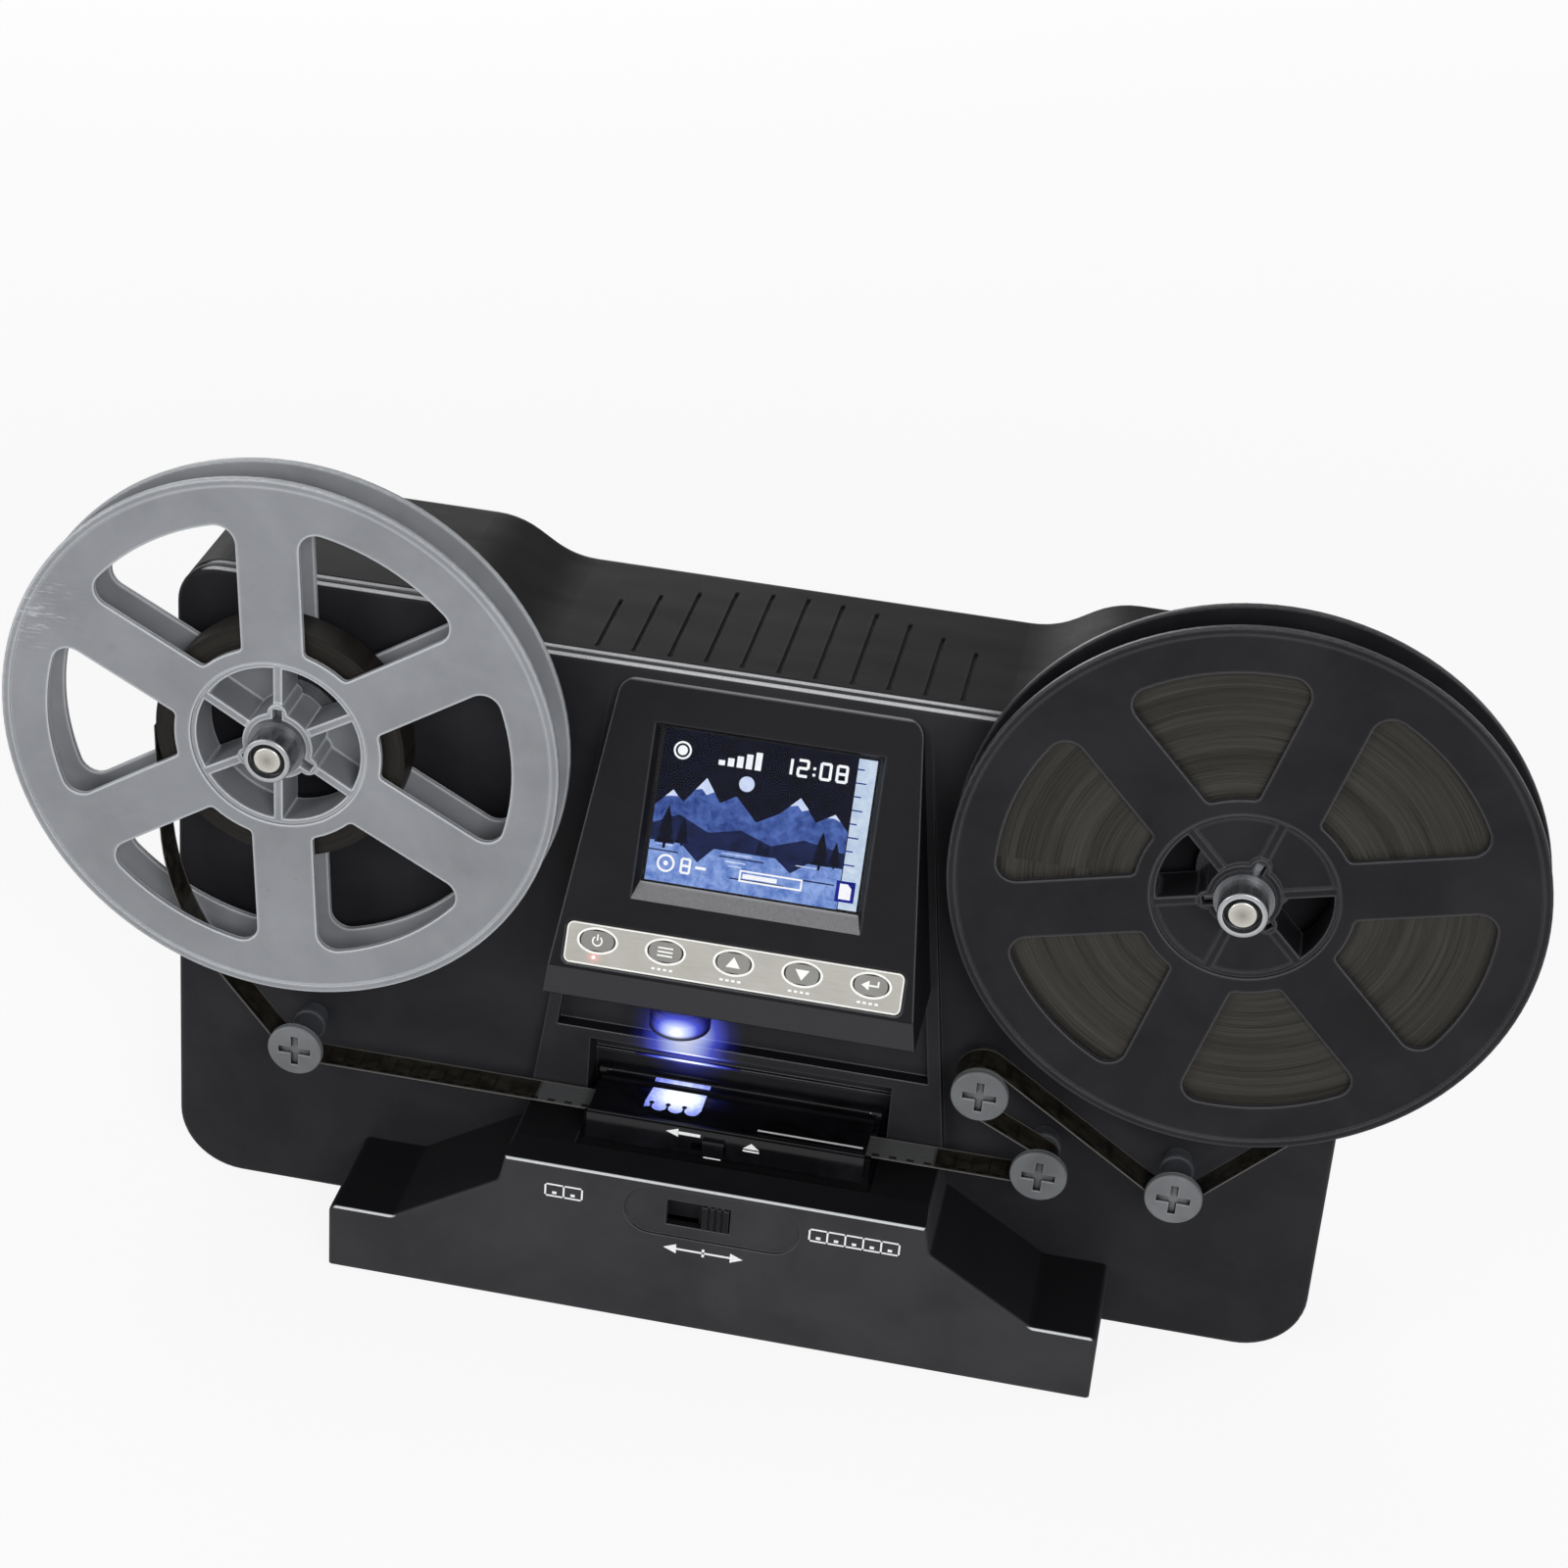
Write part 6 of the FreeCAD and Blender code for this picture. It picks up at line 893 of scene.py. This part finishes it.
def lobes():
    """The lit frame in the lid's window, its front edge scalloped by the perforations."""
    points = [(-7.0, -4.6), (-19.6, -4.6), (-20.3, -10.4), (-20.2, -12.6), (-19.0, -12.2)]
    for i in range(3):
        middle = LOBE_X + PERFORATION * i
        angles = [math.pi * k / 10 for k in range(11)]
        points += [(middle - LOBE_WIDE * math.cos(angle), LOBE_Y - LOBE_DEEP * math.sin(angle))
                   for angle in angles]
    return points + [(-7.0, -10.8)]


def gate_glow():
    """The milky lit frame: white over the lamp, lavender towards its left and front edges."""
    material, tree, shader = new_material("gate glow")
    fade = lamp_fade(tree, at(-12.6, -6.8, DOOR_TOP), reach=11.5, stretch=(0.9, 1.0, 0.1))
    cloud = noise(tree, place(tree), 0.9, detail=4.0, rough=0.6)
    level = plus(tree, fade, tune(tree, cloud, -0.08, 0.08))
    light = ramp(tree, level, [(0.0, srgb(74, 82, 190)), (0.22, srgb(150, 164, 244)),
                               (0.5, srgb(232, 240, 255)), (1.0, WHITE)])
    emit(tree, shader, light, strength=1.15)
    feed(tree, shader, "Base Color", srgb(60, 64, 80))
    feed(tree, shader, "Roughness", spread(tree, cloud, 0.3, 0.5))
    return material


GLOW = gate_glow()
DARK_INK = ink("dark ink", srgb(8, 8, 22), thin=(18, 18, 60))
mark("lid_pane", [bar(-20.45, -6.55, -13.95, -3.85)], lid,
     polished("smoked pane", srgb(8, 8, 10), srgb(20, 20, 26)), "door", thick=0.5, lift=-0.9)
mark("lit_frame", [lobes()], lid, GLOW, "door", lift=-0.4)
NOTCHES = []
for i in range(3):
    middle = NOTCH_X + PERFORATION * i
    NOTCHES += [disc(middle, -10.6, 0.62), [(middle, -10.4), (middle - 0.34, -11.9), (middle + 0.34, -11.9)]]
mark("lit_notches", NOTCHES, lid, DARK_INK, "door", thick=0.02, lift=-0.37)
mark("lit_slit", [bar(-19.8, -6.8, -2.25, -0.85)], lid, GLOW, "door", thick=0.15, lift=-0.3)
# a thin white line along the lid's ridge
mark("door_line", [bar(7.0, 31.4, -15.35, -14.8)], lid, WHITE_INK, "door", thick=0.04)
mark("door_arrow", [[(-13.6, 48.5), (-10.7, 47.4), (-10.7, 49.6)], bar(-10.8, -5.6, 48.1, 48.9)], SKIRT,
     WHITE_INK, "door", thick=0.04)
mark("door_open_mark", [[(4.4, 47.2), (8.2, 47.2), (6.3, 48.8)], bar(4.4, 8.2, 46.4, 46.8)], SKIRT, WHITE_INK,
     "door", thick=0.04)
# a pale bar painted as the highlight on the latch's lower edge
mark("latch_highlight", [bar(-4.4, -0.4, 43.35, 43.65)], LATCH_FACE, WHITE_INK, "latch")

LEDGE_FACE = 4.2  # depth of the wall behind the gate
LEDGE_TOP = 57.6  # upper edge of its highest lit rib
LEDGE_PITCH = 2.4


def ledge_glow():
    """The wall's ribs where the lamp lights them."""
    material, tree, shader = new_material("lit ledge")
    light = blue_light(tree, at(-13.5, LEDGE_FACE, 57.0), reach=15.0, stretch=(1.0, 0.2, 0.2))
    emit(tree, shader, light, strength=1.5)
    grain = noise(tree, place(tree), 6.0, detail=3.0)
    feed(tree, shader, "Base Color", mix(tree, grain, srgb(14, 14, 16), srgb(26, 26, 30)))
    feed(tree, shader, "Roughness", spread(tree, grain, 0.3, 0.45))
    return material


LEDGE = ledge_glow()
for i in range(3):
    top = LEDGE_TOP - LEDGE_PITCH * i
    foot = top - 0.9 + 0.2 * i
    mark("lit_ledge_%d" % (i + 1), [bar(-26.0, -1.0, foot, top)], front(LEDGE_FACE), LEDGE, thick=0.05)


# camera, light and floor

# the photo's view, from a fit to the reels' rims and the body's edges
VIEW_PLACE = at(88.778, -597.203, 473.437)
VIEW_RIGHT = (0.980628, 0.181308, 0.074142)
VIEW_DOWN = (0.153086, -0.473223, -0.867540)
VIEW_FORWARD = (-0.122206, 0.862083, -0.491811)

view = Matrix.Identity(4)
for row in range(3):
    view[row][0] = VIEW_RIGHT[row]
    view[row][1] = -VIEW_DOWN[row]
    view[row][2] = -VIEW_FORWARD[row]
view.translation = VIEW_PLACE

camera_data = bpy.data.cameras.new("view")
camera_data.lens = 72.53  # from the same fit
camera_data.sensor_width = 36.0
camera_data.sensor_fit = "HORIZONTAL"
camera_data.clip_start = 0.01
camera_data.clip_end = 50.0
camera = bpy.data.objects.new("view", camera_data)
camera.matrix_world = view
bpy.context.scene.collection.objects.link(camera)
bpy.context.scene.camera = camera

# name, place, target, size and watts; in metres
LAMPS = (
    ("key", (0.55, -1.25, 0.75), (0, 0, 0.08), (0.7, 0.6), 13.0),
    ("fill", (-0.95, -0.95, 0.55), (0, 0, 0.1), (0.8, 0.8), 7.0),
    ("top", (-0.1, 0.35, 1.3), (0, 0, 0.1), (1.2, 0.4), 1.5),
    ("side", (1.3, 0.5, 0.5), (0, 0, 0.1), (0.5, 0.8), 2.5),
    ("back", (-0.6, 1.5, 0.42), (0, 0, 0.12), (0.9, 0.6), 7.0),
)
for name, position, target, size, power in LAMPS:
    lamp = bpy.data.lights.new(name, "AREA")
    lamp.shape = "RECTANGLE"
    lamp.size, lamp.size_y = size
    lamp.energy = power
    light = bpy.data.objects.new(name, lamp)
    light.location = position
    light.rotation_euler = (Vector(target) - Vector(position)).to_track_quat("-Z", "Y").to_euler()
    bpy.context.scene.collection.objects.link(light)


def backdrop_rays(tree):
    """1 for the rays that see the white backdrop as it is."""
    path = tree.nodes.new("ShaderNodeLightPath")
    seen = arithmetic(tree, "MAXIMUM", path.outputs["Is Camera Ray"], path.outputs["Is Glossy Ray"])
    return arithmetic(tree, "MAXIMUM", seen, path.outputs["Is Transmission Ray"])


def background(tree, colour, strength):
    node = tree.nodes.new("ShaderNodeBackground")
    feed(tree, node, "Color", colour)
    feed(tree, node, "Strength", strength)
    return node.outputs[0]


def blend(tree, factor, a, b):
    node = tree.nodes.new("ShaderNodeMixShader")
    for i, value in enumerate((factor, a, b)):
        feed(tree, node, i, value)
    return node.outputs[0]


def build_world():
    """A white backdrop that lights the object only dimly."""
    world = bpy.data.worlds.new("studio")
    bpy.context.scene.world = world
    world.use_nodes = True
    tree = world.node_tree
    tree.nodes.clear()
    out = tree.nodes.new("ShaderNodeOutputWorld")
    dim = background(tree, (0.95, 0.97, 1.0, 1), 0.15)
    feed(tree, out, 0, blend(tree, backdrop_rays(tree), dim, background(tree, WHITE, 1.0)))


FLOOR_HALF = 20.0
FLOOR_DROP = 0.0002  # keeps the floor just under the rubber feet


def floor_material():
    """Near-white paper that keeps the object's shadow, and turns into the backdrop's white with distance."""
    material, tree, shader = new_material("floor")
    fibre = noise(tree, place(tree), 0.4, detail=5.0, rough=0.6)
    paper = mix(tree, rise(tree, fibre, 0.4, 0.6), srgb(247, 247, 247), srgb(252, 252, 252))
    feed(tree, shader, "Base Color", paper)
    feed(tree, shader, "Roughness", 0.9)
    glow = tree.nodes.new("ShaderNodeEmission")
    feed(tree, glow, "Color", WHITE)
    feed(tree, glow, "Strength", 1.0)
    distance = vector_math(tree, "LENGTH", coordinates(tree))
    white = times(tree, backdrop_rays(tree), spread(tree, distance, 0.88, 1.0, 0.5, 1.8))
    feed(tree, tree.nodes["Material Output"], 0, blend(tree, white, shader.outputs[0], glow.outputs[0]))
    return material


def build_floor():
    mesh = bpy.data.meshes.new("floor")
    corners = [(-FLOOR_HALF, -FLOOR_HALF, 0), (FLOOR_HALF, -FLOOR_HALF, 0), (FLOOR_HALF, FLOOR_HALF, 0),
               (-FLOOR_HALF, FLOOR_HALF, 0)]
    mesh.from_pydata(corners, [], [(0, 1, 2, 3)])
    obj = bpy.data.objects.new("floor", mesh)
    bpy.context.scene.collection.objects.link(obj)
    mesh.materials.append(floor_material())
    obj.location.z = -FLOOR_DROP


build_world()
build_floor()
bpy.context.scene.view_settings.view_transform = "Standard"
